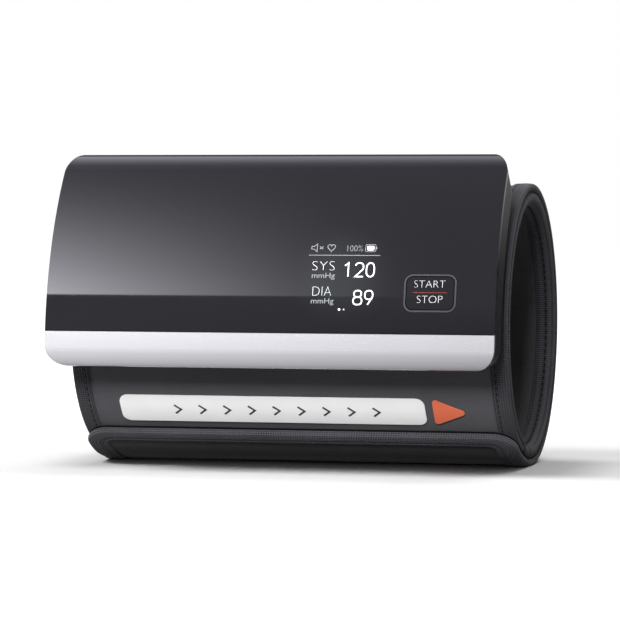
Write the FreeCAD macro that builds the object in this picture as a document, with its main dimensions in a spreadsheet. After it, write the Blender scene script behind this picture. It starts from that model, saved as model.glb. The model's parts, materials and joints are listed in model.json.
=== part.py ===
import FreeCAD, Part
import math
import os
import re

import Sketcher
from FreeCAD import Placement, Rotation, Vector

# Driving sizes in millimetres; angles in degrees, counted from the front horizontal, up positive
SIZES = {
    # Cuff: one bound layer wrapped once, lapped by its free end at the front bottom
    "cuff_width": 150,
    "cuff_radius": 48.2,
    "layer_thickness": 2.6,
    "binding_width": 6,
    "binding_fold": 0.5,
    "binding_web": 1,
    "slot_fit": 0.05,
    "rest_skin": 0.1,
    "dip_start": 10,
    "tail_end": 72,
    "flap_root": 80,
    "flap_tip": 50.5,
    "flap_gap": 0.35,
    "flap_corner": 8,
    "hem_width": 9,
    "hook_margin": 2,
    # Inner sleeve with the bladder
    "sleeve_thickness": 2.6,
    "sleeve_fold": 0.3,
    "sleeve_ply": 0.6,
    "bladder_thickness": 0.6,
    "bladder_inset": 15,
    "bladder_low": -60,
    "bladder_high": 200,
    "ply_gap": 0.1,
    "slit_place": 84,
    "slit_turn": 2,
    # Curler and anchor plate between the wrap and the sleeve
    "curler_thickness": 1,
    "curler_inset": 7,
    "curler_from_anchor": 8,
    "curler_high": 262,
    "anchor_inset": 10,
    "anchor_low": -6,
    "anchor_past_port": 7.9,
    "anchor_gap": 0.2,
    "anchor_seat": 1.4,
    "anchor_screw_inset": 6,
    "anchor_screw_spread": 9,
    "anchor_screw_radius": 1.25,
    "anchor_head_radius": 2.6,
    "anchor_head": 1,
    "anchor_boss": 3.2,
    "anchor_boss_height": 5,
    # Printed label and arrow on the front bottom of the cover
    "label_inset": 15.1,
    "label_gap": 2.7,
    "print_top": -31.2,
    "print_low": -46.6,
    "print_thickness": 0.35,
    "label_corner": 3,
    "arrow_inset": 14.8,
    "arrow_length": 11.8,
    "arrow_corner": 1,
    # Unit: a slab bowed about one centre, with a neck down to the cuff
    "unit_width": 152,
    "unit_shift": -1.5,
    "front_radius": 102,
    "key_angle": 14,
    "key_rise": 12.7,
    "chin_reach": 25.6,
    "top_reach": 54.1,
    "band_reach": 13.35,
    "panel_thickness": 2,
    "seat_fit": 0.1,
    "seam": 0.1,
    "top_round": 3.5,
    "chin_round": 6,
    "top_corner": 10,
    "chin_corner": 7.5,
    "lens_lip": 5,
    "trim_lip": 8,
    "split_rise": 0.2,
    "rear_plate": 2.3,
    "shell_wall": 1.8,
    "front_wall": 1.6,
    "neck_inset": 5,
    "saddle_gap": 0.3,
    "floor_wall": 1.6,
    # Key, its ring and the switch under it
    "key_inset": 21.7,
    "ring_width": 17.4,
    "ring_height": 12.6,
    "ring_line": 0.6,
    "ring_corner": 2.9,
    "ring_proud": 0.1,
    "key_gap": 0.3,
    "key_flange": 0.8,
    "key_overhang": 0.8,
    "key_stem": 1.8,
    "key_stem_length": 1.34,
    "switch_side": 6.2,
    "switch_body": 2.2,
    "switch_floor": 0.35,
    "switch_height": 3,
    "plunger_radius": 1.6,
    # Display
    "display_to_key": 29.4,
    "display_v": 5.5,
    "display_width": 29,
    "display_height": 27,
    "display_thickness": 1.5,
    "display_gap": 0.4,
    "bracket_wall": 1.5,
    # Board and what it carries
    "stack_gap": 0.3,
    "battery_thickness": 4.8,
    "battery_gap": 1.8,
    "battery_length": 48,
    "battery_edge": 2,
    "battery_port_gap": 1,
    "board_thickness": 1.2,
    "board_inset": 8,
    "board_edge": 2,
    "board_rise": 26,
    "board_screw_inset": 2.2,
    "board_screw_radius": 0.95,
    "board_head_radius": 1.9,
    "board_head": 1.2,
    "board_screw_length": 4,
    "post_radius": 2.4,
    "screw_fit": 0.05,
    "housing_screw_inset": 3,
    "housing_screw_low": -10,
    "housing_screw_high": 22,
    "housing_screw_radius": 0.95,
    "housing_head_radius": 1.7,
    "housing_head": 1,
    "housing_screw_length": 6,
    "housing_post": 2.2,
    "socket_width": 9,
    "socket_height": 3.2,
    "socket_length": 8.8,
    "socket_recess": 0.6,
    "socket_wall": 0.4,
    "socket_back": 2,
    "socket_v": 4,
    "buzzer_radius": 4.5,
    "buzzer_height": 2.4,
    "buzzer_x": 34,
    "buzzer_v": 10,
    # Pump, manifold and valve on one line along the top
    "pump_drop": 16.35,
    "band_wall": 1.33,
    "pump_inset": 10,
    "motor_length": 20,
    "motor_wall": 0.8,
    "head_length": 15.9,
    "crank_room": 6.4,
    "rotor_gap": 0.4,
    "shaft_radius": 0.75,
    "shaft_gap": 0.35,
    "crank_radius": 2.5,
    "crank_throw": 0.8,
    "pump_band": 4,
    "line_gap": 0.1,
    "manifold_length": 13.9,
    "manifold_half": 4.5,
    "air_bore": 1,
    "tube_wall": 0.5,
    "tube_bend": 3,
    "barb_length": 1.8,
    "barb_fit": 0.05,
    "tube_room": 1.4,
    "tube_rise": 2.1,
    "valve_length": 16,
    "valve_radius": 4.5,
    "valve_plunger": 1.6,
    "valve_stroke": 0.8,
    # Port to the bladder, and the sensor beside it
    "port_x": 4,
    "port_drop": 10.9,
    "port_radius": 2.4,
    "port_body": 3,
    "port_fit": 0.2,
    "sensor_gap": 3,
    "sensor_side": 7,
    "sensor_height": 5.4,
}

# Sizes that follow from the driving ones
DERIVED = {
    # Wrap: the layer runs round the axis, then dips about a shifted centre to pass under the flap
    "cover_out": "cuff_radius - binding_fold",
    "cover_in": "cuff_radius - layer_thickness + binding_fold",
    "wrap_in": "cuff_radius - layer_thickness",
    "cover_half": "cuff_width / 2 - binding_web",
    "dip_drop": "layer_thickness + flap_gap",
    "dip_term": "dip_drop * (2 * cuff_radius - dip_drop) / (2 * (1 - cos(flap_root - dip_start)))",
    "dip_shift": "(cuff_radius - sqrt(cuff_radius ^ 2 - 4 * dip_term)) / 2",
    "dip_y": "-dip_shift * cos(dip_start)",
    "dip_z": "-dip_shift * sin(dip_start)",
    "wrap_low": "-dip_start",
    "wrap_high": "360 - flap_root",
    "tail_low": "-tail_end",
    "flap_in": "cuff_radius - dip_shift + flap_gap",
    "flap_out": "flap_in + layer_thickness",
    "flap_root_y": "cuff_radius * cos(flap_root) - dip_shift * cos(dip_start)",
    "flap_root_z": "cuff_radius * sin(flap_root) - dip_shift * sin(dip_start)",
    "flap_low": "flap_gap / flap_out * 180 / pi - atan2(flap_root_z; flap_root_y) / (1 deg)",
    "flap_high": "-flap_tip",
    "hem_turn": "hem_width / flap_out * 180 / pi",
    "web_turn": "binding_web / flap_out * 180 / pi",
    "axis_height": "cover_out + rest_skin",
    "axis_y": "(front_depth - cuff_radius) / 2",
    "cuff_x": "(unit_width / 2 - unit_shift - cuff_width / 2) / 2",
    "unit_x": "cuff_x + unit_shift",
    # Widths across the cuff
    "bladder_width": "cuff_width - 2 * bladder_inset",
    "curler_width": "cuff_width - 2 * curler_inset",
    "anchor_width": "cuff_width - 2 * anchor_inset",
    "label_left": "label_inset - cuff_width / 2",
    "arrow_tip": "cuff_width / 2 - arrow_inset",
    "arrow_left": "arrow_tip - arrow_length",
    "label_right": "arrow_left - label_gap",
    # Sleeve
    "sleeve_radius": "wrap_in - layer_thickness",
    "sleeve_in": "sleeve_radius - sleeve_thickness",
    "sleeve_cover_out": "sleeve_radius - sleeve_fold",
    "sleeve_cover_in": "sleeve_cover_out - sleeve_ply",
    "bladder_out": "sleeve_cover_in - ply_gap",
    "bladder_in": "bladder_out - bladder_thickness",
    "lining_out": "bladder_in - ply_gap",
    "lining_in": "sleeve_in + sleeve_fold",
    "sleeve_low": "slit_turn - slit_place",
    "sleeve_high": "360 - slit_turn - slit_place",
    # Unit frame: origin at the centre of the bow, v up along the board, w out through the key
    "stack_height": "2 * stack_gap + battery_thickness + board_thickness + switch_height + key_gap",
    "face_height": "key_stem_length + key_flange + key_gap + front_wall + seat_fit + panel_thickness",
    "key_reach": "floor_radius + stack_height + face_height",
    "key_depth": "(key_reach - key_rise * sin(key_angle)) / cos(key_angle)",
    "bow_y": "front_radius * cos(key_angle) - key_depth",
    "bow_drop": "front_radius * sin(key_angle) - key_rise",
    "front_depth": "front_radius - bow_y",
    "axis_v": "bow_drop * cos(key_angle) - bow_y * sin(key_angle)",
    "axis_w": "bow_drop * sin(key_angle) + bow_y * cos(key_angle)",
    "end_low": "key_angle - chin_reach / front_radius * 180 / pi",
    "end_high": "key_angle + top_reach / front_radius * 180 / pi",
    "band_top": "key_angle - band_reach / front_radius * 180 / pi",
    "key_x": "unit_width / 2 - key_inset",
    "display_x": "key_x - display_to_key",
    "board_half": "unit_width / 2 - board_inset",
    "pump_left": "pump_inset - unit_width / 2",
    "lip_turn": "panel_thickness / front_radius * 180 / pi",
    "fit_turn": "seat_fit / front_radius * 180 / pi",
    "wall_turn": "shell_wall / front_radius * 180 / pi",
    "seam_turn": "seam / 2 / front_radius * 180 / pi",
    "neck_turn": "neck_inset / front_radius * 180 / pi",
    "panel_in": "front_radius - panel_thickness",
    "seat_radius": "panel_in - seat_fit",
    "room_radius": "seat_radius - front_wall",
    "split_radius": "board_top + split_rise",
    "back_radius": "split_radius - rear_plate",
    "saddle_radius": "cuff_radius + saddle_gap",
    "floor_radius": "saddle_radius + floor_wall",
    "room_half": "unit_width / 2 - shell_wall",
    "neck_half": "unit_width / 2 - neck_inset",
    "room_low": "end_low + lip_turn + fit_turn + wall_turn",
    "room_high": "end_high - lip_turn - fit_turn - wall_turn",
    # Stack through the middle: floor, cell, board, switch
    "battery_base": "axis_w + floor_radius + stack_gap",
    "board_base": "battery_base + battery_thickness + stack_gap",
    "board_top": "board_base + board_thickness",
    "plunger_top": "board_top + switch_height",
    "stem_base": "plunger_top + key_gap",
    "key_width": "ring_width - 2 * ring_line - 2 * key_gap",
    "key_height": "ring_height - 2 * ring_line - 2 * key_gap",
    "key_corner": "ring_corner - ring_line - key_gap",
    "ring_turn": "ring_height / 2 / front_radius * 180 / pi",
    "flange_out": "room_radius - key_gap",
    "flange_in": "flange_out - key_flange",
    "flange_half": "key_height / 2 + key_gap + key_overhang",
    "display_edge": "display_v + display_height / 2",
    "display_front": "sqrt(panel_in ^ 2 - display_edge ^ 2) - display_gap",
    "display_back": "display_front - display_thickness",
    # Pump line: midway between the floor and the front wall
    "pump_turn": "(top_reach - pump_drop) / front_radius * 180 / pi",
    "pump_dot": "axis_v * sin(pump_turn) + axis_w * cos(pump_turn)",
    "pump_floor": "pump_dot + sqrt(pump_dot ^ 2 - axis_v ^ 2 - axis_w ^ 2 + floor_radius ^ 2)",
    "pump_reach": "(pump_floor + room_radius) / 2",
    "pump_v": "pump_reach * sin(pump_turn)",
    "pump_w": "pump_reach * cos(pump_turn)",
    "pump_back": "sqrt((pump_v - axis_v) ^ 2 + (pump_w - axis_w) ^ 2) - floor_radius",
    "band_radius": "min(room_radius - pump_reach; pump_back) - stack_gap",
    "port_v": "min(pump_v - port_drop; board_high - sensor_side / 2)",
    "chin_turn": "key_angle - end_low - neck_turn - wall_turn",
    "board_low": "board_edge - board_base * tan(chin_turn)",
    "board_high": "min(pump_v - band_radius; board_rise)",
    "battery_low": "board_low + battery_edge",
    "battery_high": "port_v - port_body - battery_port_gap",
    "pump_radius": "band_radius - band_wall",
    "rotor_radius": "pump_radius - motor_wall - rotor_gap",
    "motor_right": "pump_left + motor_length",
    "head_left": "motor_right + line_gap",
    "head_right": "head_left + head_length",
    "manifold_left": "head_right + line_gap",
    "manifold_right": "manifold_left + manifold_length",
    "branch_x": "(manifold_left + manifold_right) / 2",
    "valve_left": "manifold_right + line_gap",
    "valve_right": "valve_left + valve_length",
    "tube_w": "min(board_base - port_body - tube_room; pump_w + tube_rise)",
    "tube_radius": "air_bore + tube_wall",
    "manifold_low": "min(pump_w - manifold_half; tube_w - manifold_half / 2)",
    "manifold_high": "max(pump_w + manifold_half; tube_w + manifold_half / 2)",
    "barb_radius": "air_bore - barb_fit",
    "port_shoulder": "axis_w + sqrt(floor_radius ^ 2 - (port_v - port_body - axis_v) ^ 2) + seat_fit",
    "port_tip": "axis_w + sqrt(bladder_in ^ 2 - (port_v - port_radius - axis_v) ^ 2) + ply_gap",
    "sensor_left": "port_x + port_body + sensor_gap",
    # Curler, anchor plate and its screws
    "port_turn": "asin((port_v - axis_v) / wrap_in) / (1 deg)",
    "anchor_high": "key_angle + port_turn + anchor_past_port",
    "curler_low": "anchor_high + curler_from_anchor",
    "curler_out": "wrap_in - anchor_gap",
    "anchor_screw_x": "min(neck_half - shell_wall; anchor_width / 2) - anchor_screw_inset",
    "battery_left": "anchor_boss + battery_gap - anchor_screw_x",
    "battery_right": "battery_left + battery_length",
    "anchor_out": "cover_in - ply_gap",
    "anchor_in": "sleeve_radius + anchor_gap",
    "anchor_seat_w": "axis_w + sqrt((anchor_in + anchor_seat) ^ 2 - anchor_screw_spread ^ 2)",
    "anchor_boss_v": "anchor_screw_spread - anchor_boss",
    "anchor_boss_base": "axis_w + sqrt(saddle_radius ^ 2 - anchor_boss_v ^ 2) + ply_gap",
    "anchor_boss_top": "anchor_boss_base + anchor_boss_height",
    # Print on the dipped part of the cover
    "print_in": "cover_out - dip_shift + slot_fit",
    "print_out": "print_in + print_thickness",
    "print_mid": "(print_top + print_low) / 2",
}

doc = FreeCAD.newDocument("blood_pressure_monitor")

sheet = doc.addObject("Spreadsheet::Sheet", "Sizes")
for row, (alias, value) in enumerate(SIZES.items(), start=1):
    sheet.set(f"A{row}", alias)
    sheet.set(f"B{row}", str(value))
    sheet.setAlias(f"B{row}", alias)

derived = doc.addObject("App::VarSet", "Derived")
probe = doc.addObject("App::VarSet", "Probe")
probe.addProperty("App::PropertyFloat", "reading")


def tied(formula):
    """The formula with each size written as a reference to the object that holds it."""
    def refer(match):
        word = match.group(0)
        if word in SIZES:
            return f"Sizes.{word}"
        if word in DERIVED:
            return f"Derived.{word}"
        return word
    return re.sub(r"[A-Za-z_]\w*", refer, formula)


def number(formula):
    """The present value of a formula over the sizes."""
    probe.setExpression("reading", tied(formula))
    probe.recompute()
    return probe.reading


def bind(thing, name, formula):
    thing.setExpression(name, tied(formula))


for alias in DERIVED:
    derived.addProperty("App::PropertyFloat", alias)
for alias, formula in DERIVED.items():
    bind(derived, alias, formula)
doc.recompute()

# Frames: where a body sits, its tilt about X, and the sketch angle of the front horizontal
FRAMES = {
    "cuff": {
        "place": ("cuff_x", "axis_y", "axis_height"),
        "tilt": "0",
        "zero": "180",
    },
    "unit": {
        "place": ("unit_x", "axis_y + bow_y", "axis_height - bow_drop"),
        "tilt": "90 - key_angle",
        "zero": "90 + key_angle",
    },
}
# Centres that the arcs of a profile turn about, in the frame of the body
CENTRES = {
    ("cuff", "axis"): None,
    ("cuff", "dip"): ("dip_y", "dip_z"),
    ("unit", "bow"): None,
    ("unit", "axis"): ("axis_v", "axis_w"),
}
AXIS_TURNS = {
    "x": Rotation(Vector(0, 1, 0), 90),
    "v": Rotation(Vector(1, 0, 0), -90),
    "w": Rotation(),
}
# How far a cut runs past what it cuts, and the least length that counts
PAST = 1
TINY = 0.001

nodes = []


class Piece:
    """One sub-part: a body that stands on the frame of the cuff or of the unit."""

    def __init__(self, label, frame):
        self.label = label
        self.frame = frame
        self.body = doc.addObject("PartDesign::Body", label)
        self.body.Label = label
        nodes.append(self.body)

    def place(self):
        """Set the body on its frame."""
        frame = FRAMES[self.frame]
        self.body.Placement = Placement(Vector(), Rotation(Vector(1, 0, 0), 1))
        for letter, formula in zip("xyz", frame["place"]):
            bind(self.body, f"Placement.Base.{letter}", formula)
        bind(self.body, "Placement.Rotation.Angle", frame["tilt"])

    def new(self, kind, word):
        return self.body.newObject(kind, f"{self.label}_{word}")

    def finish(self, feature, cut):
        """Recompute, and make sure that a cut took something away."""
        before = feature.BaseFeature.Shape.Volume if feature.BaseFeature else 0
        doc.recompute()
        if cut and not feature.Shape.Volume < before - TINY:
            raise RuntimeError(f"{feature.Name} cuts nothing")
        if feature.Shape.isNull():
            raise RuntimeError(f"{feature.Name} has no shape")
        self.body.Tip = feature
        return feature

    # Sketches

    def sketch(self, role, offset="0"):
        sketch = self.new("Sketcher::SketchObject", "sketch")
        plane = [item for item in self.body.Origin.OriginFeatures if item.Role == role][0]
        sketch.AttachmentSupport = [(plane, "")]
        sketch.MapMode = "FlatFace"
        bind(sketch, "AttachmentOffset.Base.z", offset)
        return sketch

    def constrain(self, sketch, rules):
        """Add the rules, each a kind, its references and the formula of its value."""
        for kind, references, formula in rules:
            if formula is None:
                sketch.addConstraint(Sketcher.Constraint(kind, *references))
                continue
            value = number(formula)
            if kind == "Angle":
                value = math.radians(value)
            index = sketch.addConstraint(Sketcher.Constraint(kind, *references, value))
            bind(sketch, f"Constraints[{index}]", formula)

    def band(self, outer, inner, low, high, offset="0"):
        """A profile between two arcs, closed by two lines that point at the outer arc's centre."""
        sketch = self.sketch("YZ_Plane", offset)
        zero = number(FRAMES[self.frame]["zero"])
        arcs = []
        for centre, radius in (outer, inner):
            place = CENTRES[(self.frame, centre)] or ("0", "0")
            arcs.append((Vector(number(place[0]), number(place[1]), 0), number(radius)))
        (hub, reach), (rear, rear_reach) = arcs
        ends = {}
        for name, angle in (("low", low), ("high", high)):
            turn = math.radians(zero - number(angle))
            ray = Vector(math.cos(turn), math.sin(turn), 0)
            along = ray.dot(rear - hub)
            step = along + math.sqrt(along ** 2 - (rear - hub).Length ** 2 + rear_reach ** 2)
            ends[name] = (hub + ray * step, hub + ray * reach)
        for (middle, radius), side in zip(arcs, (1, 0)):
            first = ends["high"][side] - middle
            last = ends["low"][side] - middle
            start = math.atan2(first.y, first.x)
            stop = math.atan2(last.y, last.x)
            if stop <= start:
                stop += 2 * math.pi
            circle = Part.Circle(middle, Vector(0, 0, 1), radius)
            sketch.addGeometry(Part.ArcOfCircle(circle, start, stop), False)
        for name in ("low", "high"):
            sketch.addGeometry(Part.LineSegment(*ends[name]), False)
        rules = [
            ("Coincident", (2, 1, 1, 2), None),
            ("Coincident", (2, 2, 0, 2), None),
            ("Coincident", (3, 1, 1, 1), None),
            ("Coincident", (3, 2, 0, 1), None),
            ("Radius", (0,), outer[1]),
            ("Radius", (1,), inner[1]),
        ]
        for arc, (centre, radius) in enumerate((outer, inner)):
            place = CENTRES[(self.frame, centre)]
            if arc == 1 and inner[0] == outer[0]:
                rules.append(("Coincident", (1, 3, 0, 3), None))
            elif place is None:
                rules.append(("Coincident", (arc, 3, -1, 1), None))
            else:
                rules.append(("DistanceX", (-1, 1, arc, 3), place[0]))
                rules.append(("DistanceY", (-1, 1, arc, 3), place[1]))
        for line, angle in ((2, low), (3, high)):
            rules.append(("PointOnObject", (0, 3, line), None))
            rules.append(("Angle", (line,), f"{FRAMES[self.frame]['zero']} - ({angle})"))
        self.constrain(sketch, rules)
        return sketch

    # Features

    def extrude(self, sketch, length, both=True, cut=False):
        feature = self.new("PartDesign::Pocket" if cut else "PartDesign::Pad", "cut" if cut else "pad")
        feature.Profile = sketch
        feature.SideType = "Symmetric" if both else "One side"
        feature.Reversed = cut and not both
        bind(feature, "Length", length)
        sketch.Visibility = False
        return self.finish(feature, cut)

    def wrap(self, outer, inner, length, offset="0", both=True, cut=False, past="0"):
        """One layer of the wrap: its round part and its dipped tail."""
        low = f"tail_low - ({past})"
        high = f"wrap_high + ({past})"
        round_part = self.band(("axis", outer), ("axis", inner), "wrap_low", high, offset)
        self.extrude(round_part, length, both, cut)
        shifted = (f"{outer} - dip_shift", f"{inner} - dip_shift")
        tail = self.band(("dip", shifted[0]), ("dip", shifted[1]), low, "wrap_low", offset)
        self.extrude(tail, length, both, cut)

    def box(self, x, v, w, cut=False):
        """A block between two places along each axis."""
        kind = "PartDesign::SubtractiveBox" if cut else "PartDesign::AdditiveBox"
        feature = self.new(kind, "block")
        for name, letter, (low, high) in zip(("Length", "Width", "Height"), "xyz", (x, v, w)):
            bind(feature, name, f"({high}) - ({low})")
            bind(feature, f"Placement.Base.{letter}", low)
        return self.finish(feature, cut)

    def cylinder(self, axis, centre, span, radius, cut=False):
        """A round bar along x, v or w; centre gives its place on the other two axes."""
        kind = "PartDesign::SubtractiveCylinder" if cut else "PartDesign::AdditiveCylinder"
        feature = self.new(kind, "bar")
        feature.Placement = Placement(Vector(), AXIS_TURNS[axis])
        places = list(centre)
        places.insert("xvw".index(axis), span[0])
        for letter, formula in zip("xyz", places):
            bind(feature, f"Placement.Base.{letter}", formula)
        bind(feature, "Radius", radius)
        bind(feature, "Height", f"({span[1]}) - ({span[0]})")
        return self.finish(feature, cut)

    def unit_bore(self, x, v, span, radius):
        """A hole in a cuff layer along the unit's w axis."""
        feature = self.new("PartDesign::SubtractiveCylinder", "bore")
        feature.Placement = Placement(Vector(), Rotation(Vector(1, 0, 0), 1))
        bind(feature, "Placement.Rotation.Angle", "90 - key_angle")
        bind(feature, "Placement.Base.x", f"unit_shift + ({x})")
        bind(feature, "Placement.Base.y",
             f"bow_y + ({v}) * sin(key_angle) - ({span[0]}) * cos(key_angle)")
        bind(feature, "Placement.Base.z",
             f"-bow_drop + ({v}) * cos(key_angle) + ({span[0]}) * sin(key_angle)")
        bind(feature, "Radius", radius)
        bind(feature, "Height", f"({span[1]}) - ({span[0]})")
        return self.finish(feature, True)

    def rest_cut(self):
        """Flatten the lowest line of a binding, where the cuff stands."""
        self.box(("-cuff_width", "cuff_width"), ("-cuff_radius", "cuff_radius"),
                 ("-2 * cuff_radius", "-axis_height"), cut=True)

    def corners(self, end, radius, side):
        """Round both corners of one end of the unit; side is 1 at the high end, -1 at the low end."""
        sketch = self.sketch("XY_Plane")
        sketch.AttachmentOffset = Placement(Vector(), Rotation(Vector(-side, 0, 0), 1))
        bind(sketch, "AttachmentOffset.Rotation.Angle", f"{side} * ({end} - key_angle)")
        half = number("unit_width") / 2
        bend = number(radius)
        inward = -side
        for hand in (1, -1):
            first = sketch.GeometryCount
            hub = Vector(hand * (half - bend), inward * bend, 0)
            crown = Vector(hub.x, 0, 0)
            crown_out = crown + Vector(0, -inward * PAST, 0)
            far = Vector(hand * (half + PAST), crown_out.y, 0)
            flank_out = Vector(far.x, hub.y, 0)
            flank = Vector(hand * half, hub.y, 0)
            loop = (crown, crown_out, far, flank_out, flank)
            for start, stop in zip(loop, loop[1:]):
                sketch.addGeometry(Part.LineSegment(start, stop), False)
            from_flank = hand == side
            low_turn = {(1, 1): 0, (-1, 1): 90, (1, -1): 270, (-1, -1): 180}[(hand, side)]
            circle = Part.Circle(hub, Vector(0, 0, 1), bend)
            turns = (math.radians(low_turn), math.radians(low_turn + 90))
            arc = sketch.addGeometry(Part.ArcOfCircle(circle, *turns), False)
            at_crown, at_flank = (2, 1) if from_flank else (1, 2)
            rules = [("Coincident", (line, 2, line + 1, 1), None) for line in range(first, first + 3)]
            rules += [
                ("Coincident", (first, 1, arc, at_crown), None),
                ("Coincident", (first + 3, 2, arc, at_flank), None),
                ("Vertical", (first,), None),
                ("Horizontal", (first + 1,), None),
                ("Vertical", (first + 2,), None),
                ("Horizontal", (first + 3,), None),
                ("Vertical", (arc, 3, arc, at_crown), None),
                ("Horizontal", (arc, 3, arc, at_flank), None),
                ("DistanceX", (-1, 1, arc, 3), f"{hand} * (unit_width / 2 - {radius})"),
                ("DistanceY", (-1, 1, arc, 3), f"{inward} * {radius}"),
                ("Radius", (arc,), radius),
                ("Distance", (first,), str(PAST)),
                ("Distance", (first + 3,), str(PAST)),
            ]
            self.constrain(sketch, rules)
        self.extrude(sketch, f"2 * (front_radius + {PAST})", cut=True)

    def fillet(self, radius, chosen):
        """Round the edges that the test chooses by their two end points."""
        base = self.body.Tip
        names = []
        for index, edge in enumerate(base.Shape.Edges, start=1):
            points = [vertex.Point for vertex in edge.Vertexes]
            if len(points) == 2 and chosen(*points):
                names.append(f"Edge{index}")
        if not names:
            raise RuntimeError(f"{self.label}: no edge to round")
        feature = self.new("PartDesign::Fillet", "fillet")
        feature.Base = (base, names)
        bind(feature, "Radius", radius)
        return self.finish(feature, False)

    def fillet_line(self, radius, reach, angle):
        """Round the edge along X at one radius and angle about the bow's centre."""
        turn = math.radians(number(f"({angle}) - key_angle"))
        v = number(reach) * math.sin(turn)
        w = number(reach) * math.cos(turn)

        def chosen(first, last):
            return all(abs(p.y - v) < TINY and abs(p.z - w) < TINY for p in (first, last))
        self.fillet(radius, chosen)

    def fillet_posts(self, radius, x_places, v_half=None, planes=None):
        """Round the edges that stand at the given x places, at v half-heights or on planes of the bow."""
        xs = [number(place) for place in x_places]
        turns = [math.radians(number(f"({angle}) - key_angle")) for angle in planes or ()]
        half = number(v_half) if v_half else None

        def on_side(first, last):
            if half is not None:
                return abs(abs(first.y) - half) < TINY and abs(first.y - last.y) < TINY
            return any(all(abs(p.y * math.cos(t) - p.z * math.sin(t)) < TINY for p in (first, last))
                       for t in turns)

        def chosen(first, last):
            at_x = any(abs(first.x - x) < TINY and abs(last.x - x) < TINY for x in xs)
            return at_x and on_side(first, last)
        self.fillet(radius, chosen)


# Outer wrap: cover and its two edge bindings
cover = Piece("cuff_cover", "cuff")
cover.wrap("cover_out", "cover_in", "2 * cover_half")
ANCHOR_SCREWS = [
    (f"{side} * anchor_screw_x", f"axis_v + {turn} * anchor_screw_spread")
    for side in (-1, 1)
    for turn in (-1, 1)
]
for x, v in ANCHOR_SCREWS:
    cover.unit_bore(x, v, ("axis_w", "front_radius"), "anchor_screw_radius + port_fit")
cover.unit_bore("port_x", "port_v", ("axis_w", "front_radius"), "port_radius + port_fit")
cover.place()

for name, hand in (("cover_binding_left", -1), ("cover_binding_right", 1)):
    binding = Piece(name, "cuff")
    ring = "-cuff_width / 2" if hand < 0 else "cuff_width / 2 - binding_width"
    binding.wrap("cuff_radius", "wrap_in", "binding_width", ring, both=False)
    slot = "-cover_half - slot_fit" if hand < 0 else "cuff_width / 2 - 2 * binding_width"
    slot_length = "binding_width" if hand < 0 else "2 * binding_width - binding_web + slot_fit"
    binding.wrap("(cover_out + slot_fit)", "(cover_in - slot_fit)", slot_length, slot,
                 both=False, cut=True, past=str(PAST))
    binding.rest_cut()
    binding.place()

# Inner sleeve: outer ply, bladder, lining and two edge bindings
for name, outer, inner, low, high, width in (
    ("sleeve_ply", "sleeve_cover_out", "sleeve_cover_in", "sleeve_low", "sleeve_high", "2 * cover_half"),
    ("air_bladder", "bladder_out", "bladder_in", "bladder_low", "bladder_high", "bladder_width"),
    ("sleeve_lining", "lining_out", "lining_in", "sleeve_low", "sleeve_high", "2 * cover_half"),
):
    layer = Piece(name, "cuff")
    layer.extrude(layer.band(("axis", outer), ("axis", inner), low, high), width)
    if name != "sleeve_lining":
        layer.unit_bore("port_x", "port_v", ("axis_w", "front_radius"), "port_radius + port_fit")
    layer.place()

for name, hand in (("sleeve_binding_left", -1), ("sleeve_binding_right", 1)):
    binding = Piece(name, "cuff")
    ring = "-cuff_width / 2" if hand < 0 else "cuff_width / 2 - binding_width"
    profile = binding.band(("axis", "sleeve_radius"), ("axis", "sleeve_in"),
                           "sleeve_low", "sleeve_high", ring)
    binding.extrude(profile, "binding_width", both=False)
    slot = "-cover_half - slot_fit" if hand < 0 else "cuff_width / 2 - 2 * binding_width"
    slot_length = "binding_width" if hand < 0 else "2 * binding_width - binding_web + slot_fit"
    profile = binding.band(("axis", "sleeve_cover_out + slot_fit"), ("axis", "lining_in - slot_fit"),
                           f"sleeve_low - {PAST}", f"sleeve_high + {PAST}", slot)
    binding.extrude(profile, slot_length, both=False, cut=True)
    binding.place()

# Curler: the springy plastic C that keeps the cuff round
curler = Piece("cuff_curler", "cuff")
curler.extrude(curler.band(("axis", "curler_out"), ("axis", "curler_out - curler_thickness"),
                           "curler_low", "curler_high"), "curler_width")
curler.place()

# Anchor plate, screwed to the unit through the cover
anchor = Piece("anchor_plate", "cuff")
anchor.extrude(anchor.band(("axis", "anchor_out"), ("axis", "anchor_in"), "anchor_low", "anchor_high"),
               "anchor_width")
for x, v in ANCHOR_SCREWS:
    anchor.unit_bore(x, v, ("axis_w", "front_radius"), "anchor_screw_radius + port_fit")
    anchor.unit_bore(x, v, ("axis_w", "anchor_seat_w"), "anchor_head_radius + port_fit")
anchor.unit_bore("port_x", "port_v", ("axis_w", "front_radius"), "port_radius + port_fit")
anchor.place()

anchor_screws = Piece("anchor_screws", "unit")
for x, v in ANCHOR_SCREWS:
    anchor_screws.cylinder("w", (x, v), ("anchor_seat_w - anchor_head", "anchor_seat_w"),
                           "anchor_head_radius")
    anchor_screws.cylinder("w", (x, v), ("anchor_seat_w", "anchor_boss_top"), "anchor_screw_radius")
anchor_screws.place()

# Flap: the free end, its hem and the hook patch under it
flap = Piece("cuff_flap", "cuff")
flap.extrude(flap.band(("dip", "flap_out - binding_fold"), ("dip", "flap_in + binding_fold"),
                       "flap_low", "flap_high - web_turn"), "2 * cover_half")


def flap_corner(piece, half, angle, radius):
    """Round the two corners of the flap's free end."""
    turn = math.radians(180 - number(angle))
    hub = (number("dip_y"), number("dip_z"))
    x = number(half)

    def on_corner(point):
        off_plane = (point.y - hub[0]) * math.sin(turn) - (point.z - hub[1]) * math.cos(turn)
        return abs(abs(point.x) - x) < TINY and abs(off_plane) < TINY

    def chosen(first, last):
        return abs(first.x - last.x) < TINY and on_corner(first) and on_corner(last)
    piece.fillet(radius, chosen)


flap_corner(flap, "cover_half", "flap_high - web_turn", "flap_corner - binding_web")
flap.place()

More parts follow.
